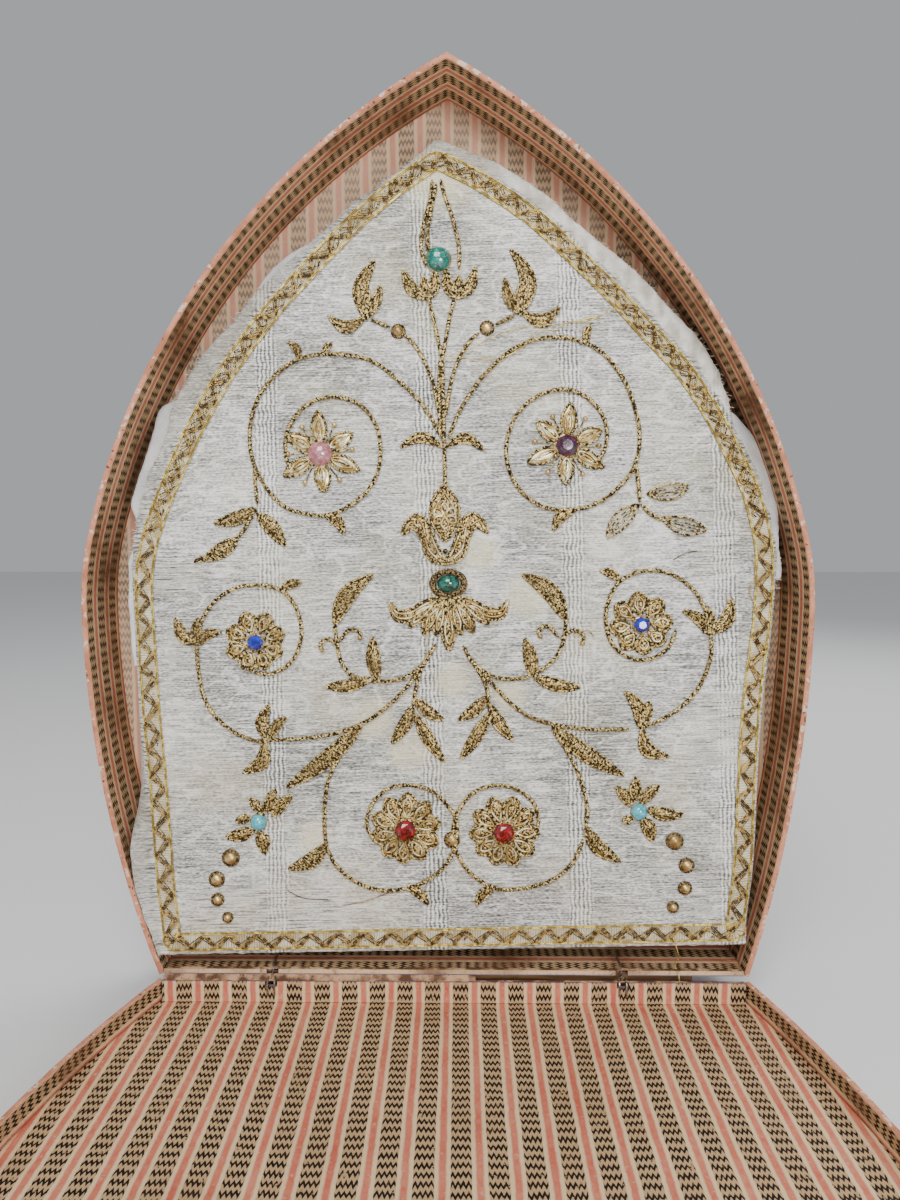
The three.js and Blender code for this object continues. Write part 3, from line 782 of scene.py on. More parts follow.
# %% Silk of the front and the back
SEAM_TOP, SEAM_FADE = 170, 24
BEND_START = 0.86                            # the share of the half width where the silk starts to turn back
LOOSE_MARGIN = -1.4                          # the lower left margin has come loose and lies forwards
DEPTH_FOOT, DEPTH_TIP = 35, 6.2


def mitre_depth(v):
    return DEPTH_FOOT + (DEPTH_TIP - DEPTH_FOOT) * v / FACE_TIP


def smooth(t):
    t = min(1, max(0, t))
    return t * t * (3 - 2 * t)


def silk_half(side, v):
    """Half the width of the torn silk of the front."""
    upper = smooth((v - 165) / 30)
    tear = 1.3 * wobble(v, 0, 7, side) + 0.8 * wobble(v, 0, 1.7, side + 5)
    return follow(SILK_RIGHT if side > 0 else SILK_LEFT, v) + tear * (0.3 + 0.7 * upper)


def silk_sheet(name, finish, node, turned, columns=96, rows=330):
    bm = bmesh.new()
    bmesh.ops.create_grid(bm, x_segments=columns, y_segments=rows, size=1)
    outside = bm.verts.layers.float.new("outside")
    flat = bm.verts.layers.float_vector.new("flat")
    for vert in bm.verts:
        side, v = vert.co.x, (vert.co.y + 1) / 2 * (FACE_TIP - 1.2 if turned else 390.5)
        sign = 1 if side > 0 else -1
        v_edge = v - (0.5 + 0.6 * wobble(side * 150, 0, 4, 3)) * (1 - smooth(v / 3))
        closed = 1 - smooth((v - SEAM_TOP) / SEAM_FADE)
        turn_back = 0.8 + closed * ((mitre_depth(v) - 0.4) / 2 - 0.8)
        if sign < 0 and not turned:
            turn_back += (LOOSE_MARGIN - turn_back) * smooth((80 - v) / 30)
        half, reach = face_half(v), face_half(v) + 6 * math.sin(math.pi * v / (SEAM_TOP + SEAM_FADE)) * closed
        if not turned:
            reach = max(0.4, silk_half(sign, v))
            half = reach - 0.6 + (min(reach, trim_half(sign, v) + 1.2) - reach) * closed
        swell = max(0.4, reach - half)
        share = abs(side) / BEND_START
        bend = max(0, (abs(side) - BEND_START) / (1 - BEND_START))
        across = half * min(1, share) + swell * math.sin(bend * math.pi / 2)
        back = turn_back * (1 - math.cos(bend * math.pi / 2))
        curl = (1 - closed) * smooth((share - 0.96) / 0.2) * (1.7 + 0.6 * sign) * wobble(v, sign, 13, 6)
        vert[outside] = across - trim_half(sign, v)
        vert[flat] = (sign * (half * min(1, share) + bend * max(turn_back, swell)), v, 0)
        if turned:
            spot = MITRE_ORIGIN + (U_AXIS * sign * across + V_AXIS * v_edge) * MM
            vert.co = spot - OUT_AXIS * (mitre_depth(v) - back) * MM
        else:
            vert.co = on_face(sign * across, v_edge, -back + curl)
    lay_uv(bm, flat)
    face_outwards(bm, -OUT_AXIS if turned else OUT_AXIS)
    piece = finished(bm, name, (finish, "lining"), "case")
    thick = piece.modifiers.new("cloth", "SOLIDIFY")
    thick.thickness, thick.offset, thick.material_offset = 0.7 * MM, -1, 1
    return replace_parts(piece, node)


def declare_silk(piece):
    """Hands back a face of the mitre as it is."""
    return piece


silk_front = silk_sheet("silk_front", "moire_silk", "mitre_front_face", False)
silk_back = silk_sheet("silk_back", "plain_silk", "mitre_back_face", True, 60, 150)
declare_silk(silk_front)
declare_silk(silk_back)

# %% [markdown]
# Between the two points a white lining cloth is folded, and it shows as a torn strip past the silk's edge.
# On the right it is widest, down to a cut end just above the shoulder. Each strip is a grid that follows
# the outline, wavy in depth, with an edge torn along its threads.

# %% White lining between the points
GUSSET_TOP, GUSSET_INSIDE = 370, 15


def gusset_reach(side, v):
    """How far the white strip shows past the outline, across its slope."""
    shown = follow(LINING_RIGHT if side > 0 else LINING_LEFT, v) - face_half(v)
    slope = face_half(v + 1) - face_half(v - 1)
    shown *= 2 / math.hypot(2, slope)
    return shown + 0.5 * wobble(v, 0, 11, side + 11) + 0.35 * wobble(v, 0, 2.3, side + 12)


def gusset(side, name, node, foot):
    bm = bmesh.new()
    rows, columns = 220, 16
    bmesh.ops.create_grid(bm, x_segments=columns, y_segments=rows, size=1)
    flat = bm.verts.layers.float_vector.new("flat")
    for vert in bm.verts:
        along, t = (vert.co.y + 1) / 2, (vert.co.x + 1) / 2
        v = foot + (GUSSET_TOP - foot) * along
        v += 1.2 * wobble(t * 30, 0, 6, side) * (1 - smooth(along * 30))
        slope = (face_half(v + 1) - face_half(v - 1)) / 2
        reach = -GUSSET_INSIDE + (GUSSET_INSIDE + gusset_reach(side, v)) * t
        normal = Vector((1, -slope)).normalized()
        spread = min(reach, 40) if v < 330 else max(reach, -face_half(v) * 0.7)
        wave = (0.9 * wobble(v, t * 12, 17, side + 20) + 0.5 * wobble(v, t * 9, 6, side)) * smooth(t * 1.4)
        wave *= min(1, mitre_depth(v) / 14)
        u, height = side * (face_half(v) + normal.x * spread), v + normal.y * spread
        spot = MITRE_ORIGIN + (U_AXIS * u + V_AXIS * height) * MM
        vert.co = spot - OUT_AXIS * (mitre_depth(v) / 2 * (1 - 0.45 * smooth(t)) + wave) * MM
        vert[flat] = (reach, v, 0)
    lay_uv(bm, flat)
    face_outwards(bm, OUT_AXIS)
    piece = finished(bm, name, ("lining",), "case")
    piece.modifiers.new("cloth", "SOLIDIFY").thickness = 0.3 * MM
    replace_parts(piece, node)
    return piece


gusset(-1, "white_gusset_left", "mitre_gusset_left", 140)
gusset(1, "white_gusset_right", "mitre_gusset_right", 176)

# %% [markdown]
# Gold thread is drawn metal wound on silk. It is worked as cords: two strands laid round each other.
# Their glints are painted into the colour as short bright beads, with painted shade in the dark gaps
# between. A cord is made as two curves that wind round one path. The curves get a round section and
# become one mesh.

# %% Gold thread and cords
def gold_thread(start, dark, bright, bead=1.35):
    vector = object_vector(start)
    beads = vector.noise(bead, 2)
    aged = vector.noise(16, 3)
    # Painted glints and painted shade: the bright and dark of the bead noise stand in for light on the wound
    # metal and the shade between its turns; the tarnish below is real.
    colour = beads.rise(0.43, 0.6).colour(dark, bright)
    tarnish = aged.rise(0.48, 0.74) * 0.55
    return {"Base Color": tarnish.colour(colour, rgb(104, 80, 42)),
            "Metallic": 0.62 - tarnish * 0.3, "Roughness": 0.3 + tarnish * 0.3 + beads * 0.1,
            "Normal": beads.bump(0.35)}


GOLDS = {
    "gold_cord": (rgb(48, 32, 12), rgb(250, 226, 156), 1.2),
    "chopped_gold": (rgb(44, 30, 12), rgb(222, 192, 124), 0.95),
    "braid_gold": (rgb(74, 52, 22), rgb(220, 186, 110), 2.0),
    "pale_gold": (rgb(190, 158, 92), rgb(255, 250, 214), 4.0),
    "yellow_silk": (rgb(176, 144, 60), rgb(252, 232, 130), 2.6),
    "dark_gold": (rgb(34, 24, 12), rgb(172, 146, 100), 0.9),
}
for name, tones in GOLDS.items():
    material(name, lambda start, tones=tones: gold_thread(start, *tones))


def evenly(points, step):
    """A smooth line through given points, cut into even steps."""
    first = Vector(points[0]) * 2 - Vector(points[1])
    last = Vector(points[-1]) * 2 - Vector(points[-2])
    knots = [first] + [Vector(p) for p in points] + [last]
    dense = []
    for a, b, c, d in zip(knots, knots[1:], knots[2:], knots[3:]):
        for i in range(12):
            t = i / 12
            dense.append(0.5 * (2 * b + (c - a) * t + (2 * a - 5 * b + 4 * c - d) * t * t
                                + (3 * b - a - 3 * c + d) * t ** 3))
    dense.append(knots[-2])
    line, travelled = [dense[0]], 0.0
    for a, b in zip(dense, dense[1:]):
        gap = (b - a).length
        while travelled + gap >= step and gap > 0:
            a = a.lerp(b, (step - travelled) / gap)
            gap, travelled = (b - a).length, 0.0
            line.append(a)
        travelled += gap
    if (line[-1] - dense[-1]).length > step * 0.3:
        line.append(dense[-1])
    return line


def normals(line):
    """The sideways direction at each point of a flat line."""
    found = []
    for i in range(len(line)):
        d = line[min(i + 1, len(line) - 1)] - line[max(i - 1, 0)]
        found.append(Vector((-d.y, d.x)).normalized())
    return found


def twisted(points, radius=0.6, strands=2, pitch=3.1, lift=0.95, step=0.6, taper=True):
    """Strands that wind round a path on the silk, as lists of (place, thickness)."""
    line = evenly(points, step)
    sideways, made = normals(line), []
    for strand in range(strands):
        run = []
        for i, (spot, side) in enumerate(zip(line, sideways)):
            turn = 2 * math.pi * (i * step / pitch + strand / strands)
            end = min(1, 0.45 + 0.55 * min(i, len(line) - 1 - i) * step / 2) if taper else 1
            u, v = spot + side * math.cos(turn) * radius * 1.05 * end
            out = lift + math.sin(turn) * radius * 0.8
            run.append((on_face(u, v, max(0.3, out)), end))
        made.append(run)
    return made


def laid(points, lift, step=0.9):
    """One plain thread laid on the silk along a path."""
    return [[(on_face(p.x, p.y, lift), 1.0) for p in evenly(points, step)]]


def thread_piece(name, runs, radius, finish, body="case", sides=0):
    """Makes one mesh piece from many runs of thread."""
    data = bpy.data.curves.new(name, "CURVE")
    data.dimensions, data.bevel_depth, data.bevel_resolution = "3D", radius * MM, sides
    data.use_fill_caps = True
    for run in runs:
        spline = data.splines.new("POLY")
        spline.points.add(len(run) - 1)
        for point, (place, thick) in zip(spline.points, run):
            point.co, point.radius = (*place, 1), thick
    curve = bpy.data.objects.new(name + "_path", data)
    bpy.context.scene.collection.objects.link(curve)
    bpy.context.view_layer.update()
    mesh = bpy.data.meshes.new_from_object(curve.evaluated_get(bpy.context.evaluated_depsgraph_get()))
    bpy.data.objects.remove(curve)
    mesh.name = name
    mesh.materials.clear()
    mesh.materials.append(FINISHES[finish])
    mesh.shade_smooth()
    piece = bpy.data.objects.new(name, mesh)
    bpy.context.scene.collection.objects.link(piece)
    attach(piece, body)
    print("made", name, len(runs), "runs,", len(mesh.polygons), "faces")
    return piece


# %% [markdown]
# A galloon, a woven gold trimming 9 mm wide, runs round the front a little inside its edge. Its
# ground is a thin cream ribbon. Two fine yellow cords bind each edge, and three strands together zigzag
# between them, followed by a single darker one that swings less far. Above the shoulders
# more loops fill the gaps.

# %% Galloon
GALLOON_WIDTH, TRIM_FOOT = 9.0, 1.3


def trimming_line(inset):
    """The outline of the front moved inwards: from the middle of the foot, round the point and back."""
    low, halves = TRIM_FOOT + inset, []
    for side in (1, -1):
        edge = []
        for i in range(190):
            v = TRIM_FOOT + (385 - TRIM_FOOT) * i / 190
            along = Vector((trim_half(side, v + 0.6) - trim_half(side, v - 0.6), 1.2)).normalized()
            edge.append(Vector((trim_half(side, v) - along.y * inset, v + along.x * inset)))
        edge = [p for p in edge if p.x > 1.5 and p.y > low]
        foot = [Vector((edge[0].x * i / 30, low)) for i in range(31)]
        halves.append([Vector((side * p.x, p.y)) for p in foot + edge])
    (a, b), c = halves[0][-2:], halves[1][-1]
    tip = Vector((0, (b.y + c.y) / 2 + (b.y - a.y) / (a.x - b.x) * b.x * 0.6))
    return halves[0] + [tip] + halves[1][:0:-1] + [halves[0][0]]


def along_trimming(inset, step=0.9):
    return evenly([Vector(p) for p in trimming_line(inset)], step)


centre_line = along_trimming(GALLOON_WIDTH / 2, 1.0)
centre_sides = normals(centre_line)
bm = bmesh.new()
bmesh.ops.create_grid(bm, x_segments=len(centre_line) - 1, y_segments=6, size=1)
flat = bm.verts.layers.float_vector.new("flat")
for vert in bm.verts:
    i = round((vert.co.x + 1) / 2 * (len(centre_line) - 1))
    across = vert.co.y * (GALLOON_WIDTH / 2 - 0.2 + 0.25 * wobble(i, vert.co.y, 6, 2))
    u, v = centre_line[i] + centre_sides[i] * across
    vert.co = on_face(u, max(v, 0.5), 0.5 + 0.15 * wobble(i, vert.co.y * 3, 3, 5))
    vert[flat] = (i, across, 0)
lay_uv(bm, flat)
bmesh.ops.remove_doubles(bm, verts=bm.verts, dist=1e-6)
face_outwards(bm, OUT_AXIS)


def ribbon(start):
    vector, along, across = cloth_place(start)
    weave = along.wave(0.8) * 0.5 + vector.noise(0.9, 3, (0.5, 3, 1)) * 0.5
    patch = vector.noise(11, 3)
    colour = patch.rise(0.35, 0.65).colour(rgb(206, 192, 150), rgb(250, 244, 218))
    colour = (1 - weave.rise(0.24, 0.42)).colour(colour, rgb(122, 102, 66))
    hole = vector.noise(4, 2).rise(0.66, 0.7) * (1 - across.size().rise(2.2, 3.2))
    return {"Base Color": hole.colour(colour, rgb(84, 80, 74)), "Metallic": 0.25 - hole * 0.25,
            "Roughness": 0.5 + patch * 0.25, "Normal": weave.bump(0.3)}


material("ribbon", ribbon)
galloon = finished(bm, "galloon_ground", ("ribbon",), "case")
galloon.modifiers.new("ribbon", "SOLIDIFY").thickness = 0.35 * MM
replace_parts(galloon, "mitre_galloon")


def lane(offset, lift, wander=0.25, seed=0.0):
    """A thread that runs along the trimming, offset mm from its middle."""
    run = []
    for i, (spot, side) in enumerate(zip(centre_line, centre_sides)):
        u, v = spot + side * (offset + wander * wobble(i, 0, 7, seed))
        run.append((on_face(u, max(v, 0.6), lift), 1.0))
    return run


def zigzag(reach, repeat, start, lift, seed=0.0, above=0.0):
    """A thread that swings from edge to edge of the trimming, pointed where it turns."""
    run = []
    for i, (spot, side) in enumerate(zip(centre_line, centre_sides)):
        if spot.y < above:
            continue
        phase = (i + start + 1.6 * wobble(i, 0, 30, 3)) / repeat % 1
        swing = 1 - 4 * abs(phase - 0.5)
        over = 0.5 + 0.35 * math.cos(phase * 4 * math.pi)
        u, v = spot + side * swing * reach * (1 + 0.2 * wobble(i, 0, 5, seed))
        run.append((on_face(u, max(v, 0.7), lift + over * 0.5), 1.0))
    return run


EDGE_LANES = [lane(side * place, 0.85, 0.22, place + side) for side in (-1, 1) for place in (4.2, 3.6)]
thread_piece("galloon_edge_cords", EDGE_LANES, 0.28, "yellow_silk")
WEAVE = [zigzag(3.4, 13, shift, 1.0, shift) for shift in (-1.1, 0, 1.1)]
thread_piece("galloon_zigzag", WEAVE, 0.29, "braid_gold")
LOOPS = [zigzag(2.7, 13, 5.5 + shift, 0.85, shift + 8, 205) for shift in (-0.7, 0.7)]
thread_piece("galloon_loops", LOOPS, 0.27, "gold_cord")
thread_piece("galloon_follower", [zigzag(2.2, 13, 2.6, 0.75, 5)], 0.22, "dark_gold")

# %% [markdown]
# The design is a tree of scrolls that spring from a palmette below the middle. Each stem was drawn by
# hand on the silk and its cord sewn along it, so the two halves match only roughly, and each stem is a
# short list of places in mm. The stems come first, in three groups.

# %% Stems and scrolls
UPPER_STEMS = [
    [(1, 222), (1, 250), (1, 285)], [(-1, 248), (-1, 270), (0, 285)],
    [(1, 285), (-3, 305), (-5, 316)], [(1, 285), (5, 305), (8, 316)],
    [(-6, 330), (-8, 340), (-6, 352), (-3, 362), (-2, 371)],
    [(10, 328), (10, 340), (7, 354), (4, 363), (2, 371)],
    [(-3, 330), (-5, 342), (-3, 356), (0, 369)],
    [(-1, 258), (-4, 274), (-8, 285), (-13, 293), (-17, 297)], [(-24, 301), (-33, 305)],
    [(2, 258), (5, 274), (9, 285), (15, 294), (19, 297)], [(27, 301), (36, 305)],
    [(0, 247), (-8, 262), (-20, 275), (-33, 285), (-48, 288.5), (-60, 288.5), (-70, 286), (-80, 279),
     (-88, 269),
     (-92.5, 255), (-92, 240), (-86, 226), (-77, 216), (-66, 212), (-55, 211.5), (-43, 217), (-34, 226),
     (-30, 238), (-31, 252), (-38, 263), (-49, 268), (-60, 267), (-69, 261), (-75, 251), (-75.5, 240),
     (-72, 231)],
    [(3, 247), (10, 262), (22, 278), (37, 290), (52, 294), (66, 292.5), (78, 286), (88, 273), (93, 259),
     (95, 245),
     (92, 231), (84, 221), (73, 213.5), (60, 211), (48, 213), (38, 220), (32, 231), (31, 244), (36, 257),
     (46, 266), (59, 269), (70, 265), (78, 255), (79, 243), (74, 232)],
    [(-91, 235), (-90.5, 226), (-90, 217)], [(-91, 215), (-96, 206), (-101, 200)],
    [(93, 232), (94, 222), (94.5, 214)], [(95, 213), (100, 208), (106, 205)],
]
SIDE_STEMS = [
    [(-5, 148), (-12, 138), (-22, 131.5), (-34, 130.5), (-45, 133), (-51, 140), (-53, 150), (-54, 160)],
    [(8, 147), (13, 138), (24, 131), (38, 131), (50, 137.5), (56, 147), (58, 160)],
    [(-52, 148), (-57, 151.5), (-61, 149), (-60.5, 145.5)],
    [(-52, 150), (-47, 155.5), (-42, 154.5), (-41.5, 151)],
    [(55, 149), (61, 153), (66, 150.5), (65, 146)], [(54, 150), (49, 155.5), (44.5, 153.5), (45.5, 150)],
    [(-8, 143), (-21, 126), (-35, 114), (-50, 107), (-65, 104), (-80, 103.3), (-92, 103)],
    [(10, 142), (20, 130), (30, 119), (40, 111.5), (55, 107), (70, 105), (87, 105)],
    [(-87, 102.4), (-94, 103), (-104, 107.5), (-113, 115.5), (-118.5, 126), (-120.5, 139), (-121, 150)],
    [(-120.5, 152), (-118, 162), (-111, 171.5), (-100, 177.5), (-88, 178), (-78, 174.5), (-72, 166),
     (-70, 154.5), (-74, 142.5), (-84, 135.5), (-94.5, 137), (-101, 143.5)],
    [(92, 105.4), (99, 107.5), (111, 114), (121, 124.5), (127, 139), (127, 150)],
    [(126, 153), (124.5, 162), (119.5, 171), (111, 178), (101, 181), (91.5, 180), (83, 175), (78, 165.5),
     (77, 155), (80.5, 145), (88.5, 139), (98, 138.5), (106.5, 143.5), (110.5, 152)],
    [(-9, 143), (-14, 132), (-17, 118)], [(11, 141), (18, 129), (20, 117)],
]
LOWER_STEMS = [
    [(-46, 106), (-52, 96), (-58, 85), (-60.5, 73), (-61, 58), (-60, 50)],
    [(50, 106), (58, 93), (63.5, 80), (66, 67), (65, 57)],
    [(-60, 50), (-56, 42), (-48, 34.5), (-38, 30), (-28, 29), (-18, 31), (-9, 35.5), (-2, 42), (2, 51),
     (3, 62), (-1.5, 70), (-9, 77), (-20, 80), (-30.5, 78), (-38, 70.5), (-40.5, 61), (-37, 53)],
    [(64, 52), (58.5, 41), (49, 33), (36, 29), (22, 29), (11, 35), (4, 44), (1, 55), (3.5, 66), (10.5, 75),
     (21, 79), (32, 77), (40, 70.5), (42.5, 62), (40, 54)],
]
SCROLLS = {"upper_scrolls": UPPER_STEMS, "side_scrolls": SIDE_STEMS, "lower_scrolls": LOWER_STEMS}
for name, stems in SCROLLS.items():
    runs = [run for stem in stems for run in twisted(stem)]
    thread_piece(name, runs, 0.58, "gold_cord")

# %% [markdown]
# Leaves and petals are small padded shapes: a low mound of gold stitches inside a cord outline. A shape
# is two edges from its base to its tip. The mound is a grid laid between the edges, and the outline is a
# cord along both. Making all mounds in one bmesh and all outlines in another keeps the pieces few.

# %% Helpers for leaves and petals
MOUNDS = {"chopped_gold": [], "pale_gold": []}
OUTLINES, RIBS, LIGHT_LOOPS = [], [], []


def leaf_edges(base, tip, width, bend=0.0, fullness=0.9, steps=9):
    """The two edges of a leaf whose middle line bows sideways by bend mm."""
    base, tip = Vector(base), Vector(tip)
    along = tip - base
    side = Vector((-along.y, along.x)).normalized()
    left, right = [], []
    for i in range(steps + 1):
        t = i / steps
        middle = base + along * t + side * bend * math.sin(math.pi * t)
        half = width / 2 * math.sin(math.pi * t ** fullness) ** 0.75 if 0 < i < steps else 0.15
        left.append(middle + side * half)
        right.append(middle - side * half)
    return left, right


def pale_pair(edges, lift=1.45):
    """Lays a pale thread along each of two edges."""
    LIGHT_LOOPS.extend(laid(edges[0], lift) + laid(edges[1], lift))


def shape(left, right, finish="chopped_gold", outline=True, rib=True, cord=0.4):
    """Adds a mound between two edges, a cord round it and a rib up its middle."""
    MOUNDS[finish].append((left, right))
    if outline:
        loop = list(left) + list(right)[-2::-1]
        OUTLINES.extend(twisted(loop, cord, 2, 2.5, 0.85, 0.6, False))
    if rib:
        middle = [(Vector(a) + Vector(b)) / 2 for a, b in zip(left, right)][1:-1]
        RIBS.extend(laid(middle, 1.5))


def leaf(base, tip, width, bend=0.0, finish="chopped_gold", rib=True, fullness=0.9):
    shape(*leaf_edges(base, tip, width, bend, fullness), finish, True, rib)


def hatch(left, right, gap=1.5):
    """Slanting stitches from edge to edge over a mound."""
    a, b = evenly(left, gap), evenly(right, gap)
    for i in range(1, min(len(a), len(b)) - 2):
        RIBS.append([(on_face(*a[i].lerp(b[i + 1], t), 0.75 + 0.9 * math.sin(math.pi * t)), 0.8)
                     for t in (0.08, 0.3, 0.5, 0.7, 0.92)])


# %% [markdown]
# The leaves: pairs and threes on the stems, thorns on the scrolls, the tulips at the top, the flourishes
# at the sides. Each is a base, a tip, a width and a bow. Three leaves on the right are open outlines, with
# only a few threads laid inside.

# %% Leaves of the tree
LEAVES = [
    ((0, 243), (-20, 243), 4.6, -4.5), ((2, 243), (20, 240.5), 4.6, 5),
    ((-68, 287), (-73, 295), 3, -1.5), ((-56, 289), (-52, 294), 2.4, 1), ((71, 291), (73, 300), 3, 1.5),
    ((-57, 211), (-48.5, 202), 4.6, 2.2), ((63, 211), (52.5, 201.5), 4.6, -2.2),
    ((-90.5, 215), (-111, 208.5), 6, 1.2), ((-90, 213), (-77, 197), 6.4, 0.8),
    ((-100, 201), (-117, 191), 6.6, 1),
    ((-34, 131), (-35.5, 152), 6, 0.8), ((-37, 132), (-59, 128.5), 5.4, 1.5),
    ((41, 131), (38, 149.5), 6, -0.8), ((42, 131), (64, 125.5), 5.6, -1.5),
    ((-16, 122), (-2.5, 111), 5.2, -1.2), ((-17, 118), (-27.5, 100.5), 5.4, 1),
    ((-16, 114), (-2.5, 91), 5.4, -0.6),
    ((19, 122), (5, 111), 5.2, 1.2), ((20, 118), (31, 100.5), 5.4, -1), ((20, 114), (5.5, 92), 5.4, 0.6),
    ((-42, 109), (-79, 80), 7.2, 1.6), ((50, 107), (84, 82.5), 7.2, -1.6),
    ((-60, 52), (-79, 40.5), 6.5, 2.5), ((65, 58), (81.5, 41), 6.5, -2.5),
    ((-22, 31), (-11.5, 22), 4.2, 1.4), ((20, 29), (11.5, 21.5), 4.2, -1.4),
    ((-79, 176), (-69.5, 179), 3.6, 1), ((84, 177), (75, 181.5), 3.6, -1),
    ((-117, 192), (-121, 190), 1.6, 0),
]
OPEN_LEAVES = [((98, 218), (118, 221), 7.4, -1), ((105, 206), (126, 200), 8, -0.8),
               ((94, 213), (78.5, 198), 7.6, -0.8)]
BIG_LEAVES = [((-54, 158), (-35, 182), 7.6, 3.8), ((58, 158), (37.5, 180.5), 7.6, -3.8)]
TULIPS = [
    ((-35, 305), (-30.5, 333), 6.6, 5), ((-35, 306), (-28, 321), 4.4, -1), ((-36, 306), (-53.5, 307), 5.4, 5),
    ((-37, 307), (-34, 320), 4.8, 0.5),
    ((39, 305), (35, 337), 7.0, -6), ((38, 306), (32, 323), 4.6, 1.5), ((40, 306), (58, 308.5), 5.8, -5),
    ((40, 307), (39, 320), 4.8, 0),
]
BELLS = [
    ((-5, 314), (-17, 328), 5.2, 2.6), ((-5, 314), (-2, 328), 4.4, -1.6), ((-5.5, 314), (-7.5, 325), 4.2, 0),
    ((7.5, 314), (18, 328.5), 5.2, -2.6), ((7.5, 314), (4, 328), 4.4, 1.6), ((8, 314), (10, 325), 4.2, 0),
]
FLOURISHES = [
    ((-88, 103), (-86.5, 120), 5.4, 3), ((-86, 104), (-78.5, 114), 4.2, 1.4),
    ((-89, 103), (-100, 87.5), 6.2, 4.6),
    ((92, 106), (85.5, 123), 5.6, -3), ((93, 107), (97, 118), 4.2, -1), ((93, 105), (106, 91), 6.2, -5),
    ((-121, 150), (-131, 163), 5.2, 2.4), ((-120.5, 150), (-109, 156), 4.4, 2),
    ((-121, 150), (-120, 163), 4.4, 0.6),
    ((127, 150), (137.5, 167), 6, -3.4), ((126, 150), (114.5, 161.5), 4.6, -2),
    ((126.5, 150), (126, 163), 4.4, -0.6),
]
TURQUOISE_LEAVES = [
    ((-90, 67), (-97, 75), 4.2, 0), ((-88, 68), (-84.5, 79), 5, 0.8), ((-86, 66), (-76.5, 76), 5, 1),
    ((-95, 60), (-109, 56.5), 5.6, 1), ((-93, 59), (-90.5, 48), 6, 0.8), ((-97, 66), (-104, 64), 3.6, 0),
    ((87, 68), (80.5, 77), 5, -0.8), ((89, 70), (90, 81.5), 5, 0), ((92, 69), (101, 77), 4.8, 0.8),
    ((95, 66), (112, 63), 5.6, -1.2), ((93, 62), (97, 50.5), 6, 0.8), ((88, 62), (83, 60), 3.4, 0),
]
for base, tip, width, bend in LEAVES + TULIPS + BELLS + FLOURISHES + TURQUOISE_LEAVES:
    leaf(base, tip, width, bend)
for base, tip, width, bend in BIG_LEAVES + LEAVES[7:10] + LEAVES[20:24]:
    left, right = leaf_edges(base, tip, width, bend)
    hatch(left, right)
for base, tip, width, bend in BIG_LEAVES:
    leaf(base, tip, width, bend)
for base, tip, width, bend in OPEN_LEAVES:
    left, right = leaf_edges(base, tip, width, bend, 1.1)
    OUTLINES.extend(twisted(left + right[-2::-1], 0.4, 2, 2.5, 0.85, 0.6, False))
    for t in (0.3, 0.5, 0.7):
        RIBS.extend(laid([a.lerp(b, t) for a, b in zip(left, right)][1:-1], 0.6))
print(len(LEAVES + TULIPS + BELLS + FLOURISHES + TURQUOISE_LEAVES + BIG_LEAVES), "leaves")

# %% [markdown]
# The flowers sit inside the scrolls, round their stones. The upper two have six pointed petals and six
# stamens with a knob on each. The four lower ones are rosettes of round petals, each a loop of pale
# thread inside an outline. Above the emerald stands a fleur, and below it a palmette opens downwards.

# %% Flowers, fleur and palmette
def middle_of(node):
    """The place of a frame piece on the silk."""
    low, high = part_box(node)
    return Vector(face_of((low + high) / 2))


def ray(centre, angle, distance):
    return centre + Vector((math.cos(math.radians(angle)), math.sin(math.radians(angle)))) * distance


KNOBS = []
for node, first, reach in (("stone_pink", 92, 19.5), ("stone_violet", 84, 19.5)):
    centre = middle_of(node)
    for i in range(6):
        angle = first + 60 * i + 4 * math.sin(5 * i)
        long = reach + 1.2 * math.cos(3 * i)
        leaf(ray(centre, angle, 5), ray(centre, angle, long), 7.4, 0, "pale_gold", True, 0.85)
        inner = leaf_edges(ray(centre, angle, 6), ray(centre, angle, long - 3.5), 3.6, 0, 0.85)
        pale_pair(inner, 1.5)
        stamen = [ray(centre, angle + 30, 6), ray(centre, angle + 30, 10), ray(centre, angle + 31, 14.5)]
        RIBS.extend(laid(stamen, 0.9))
        KNOBS.append((ray(centre, angle + 31, 15.6), 1.35))


def rosette(centre, petals, reach, width, first):
    """Round petals side by side, each with a pale loop inside."""
    for i in range(petals):
        angle = first + 360 * i / petals
        long = reach * (1 + 0.06 * math.sin(7 * i))
        leaf(ray(centre, angle, 4.6), ray(centre, angle, long), width, 0, "chopped_gold", False, 1.35)
        loop = leaf_edges(ray(centre, angle, 6), ray(centre, angle, long - 2.2), width * 0.5, 0, 1.3)
        pale_pair(loop)


rosette(middle_of("stone_blue_left"), 8, 14.5, 8.4, 20)
rosette(middle_of("stone_blue_right"), 8, 15, 8.6, 5)
rosette(middle_of("stone_red_left"), 10, 17, 8.4, 12)
rosette(middle_of("stone_red_right"), 10, 17, 8.4, 0)

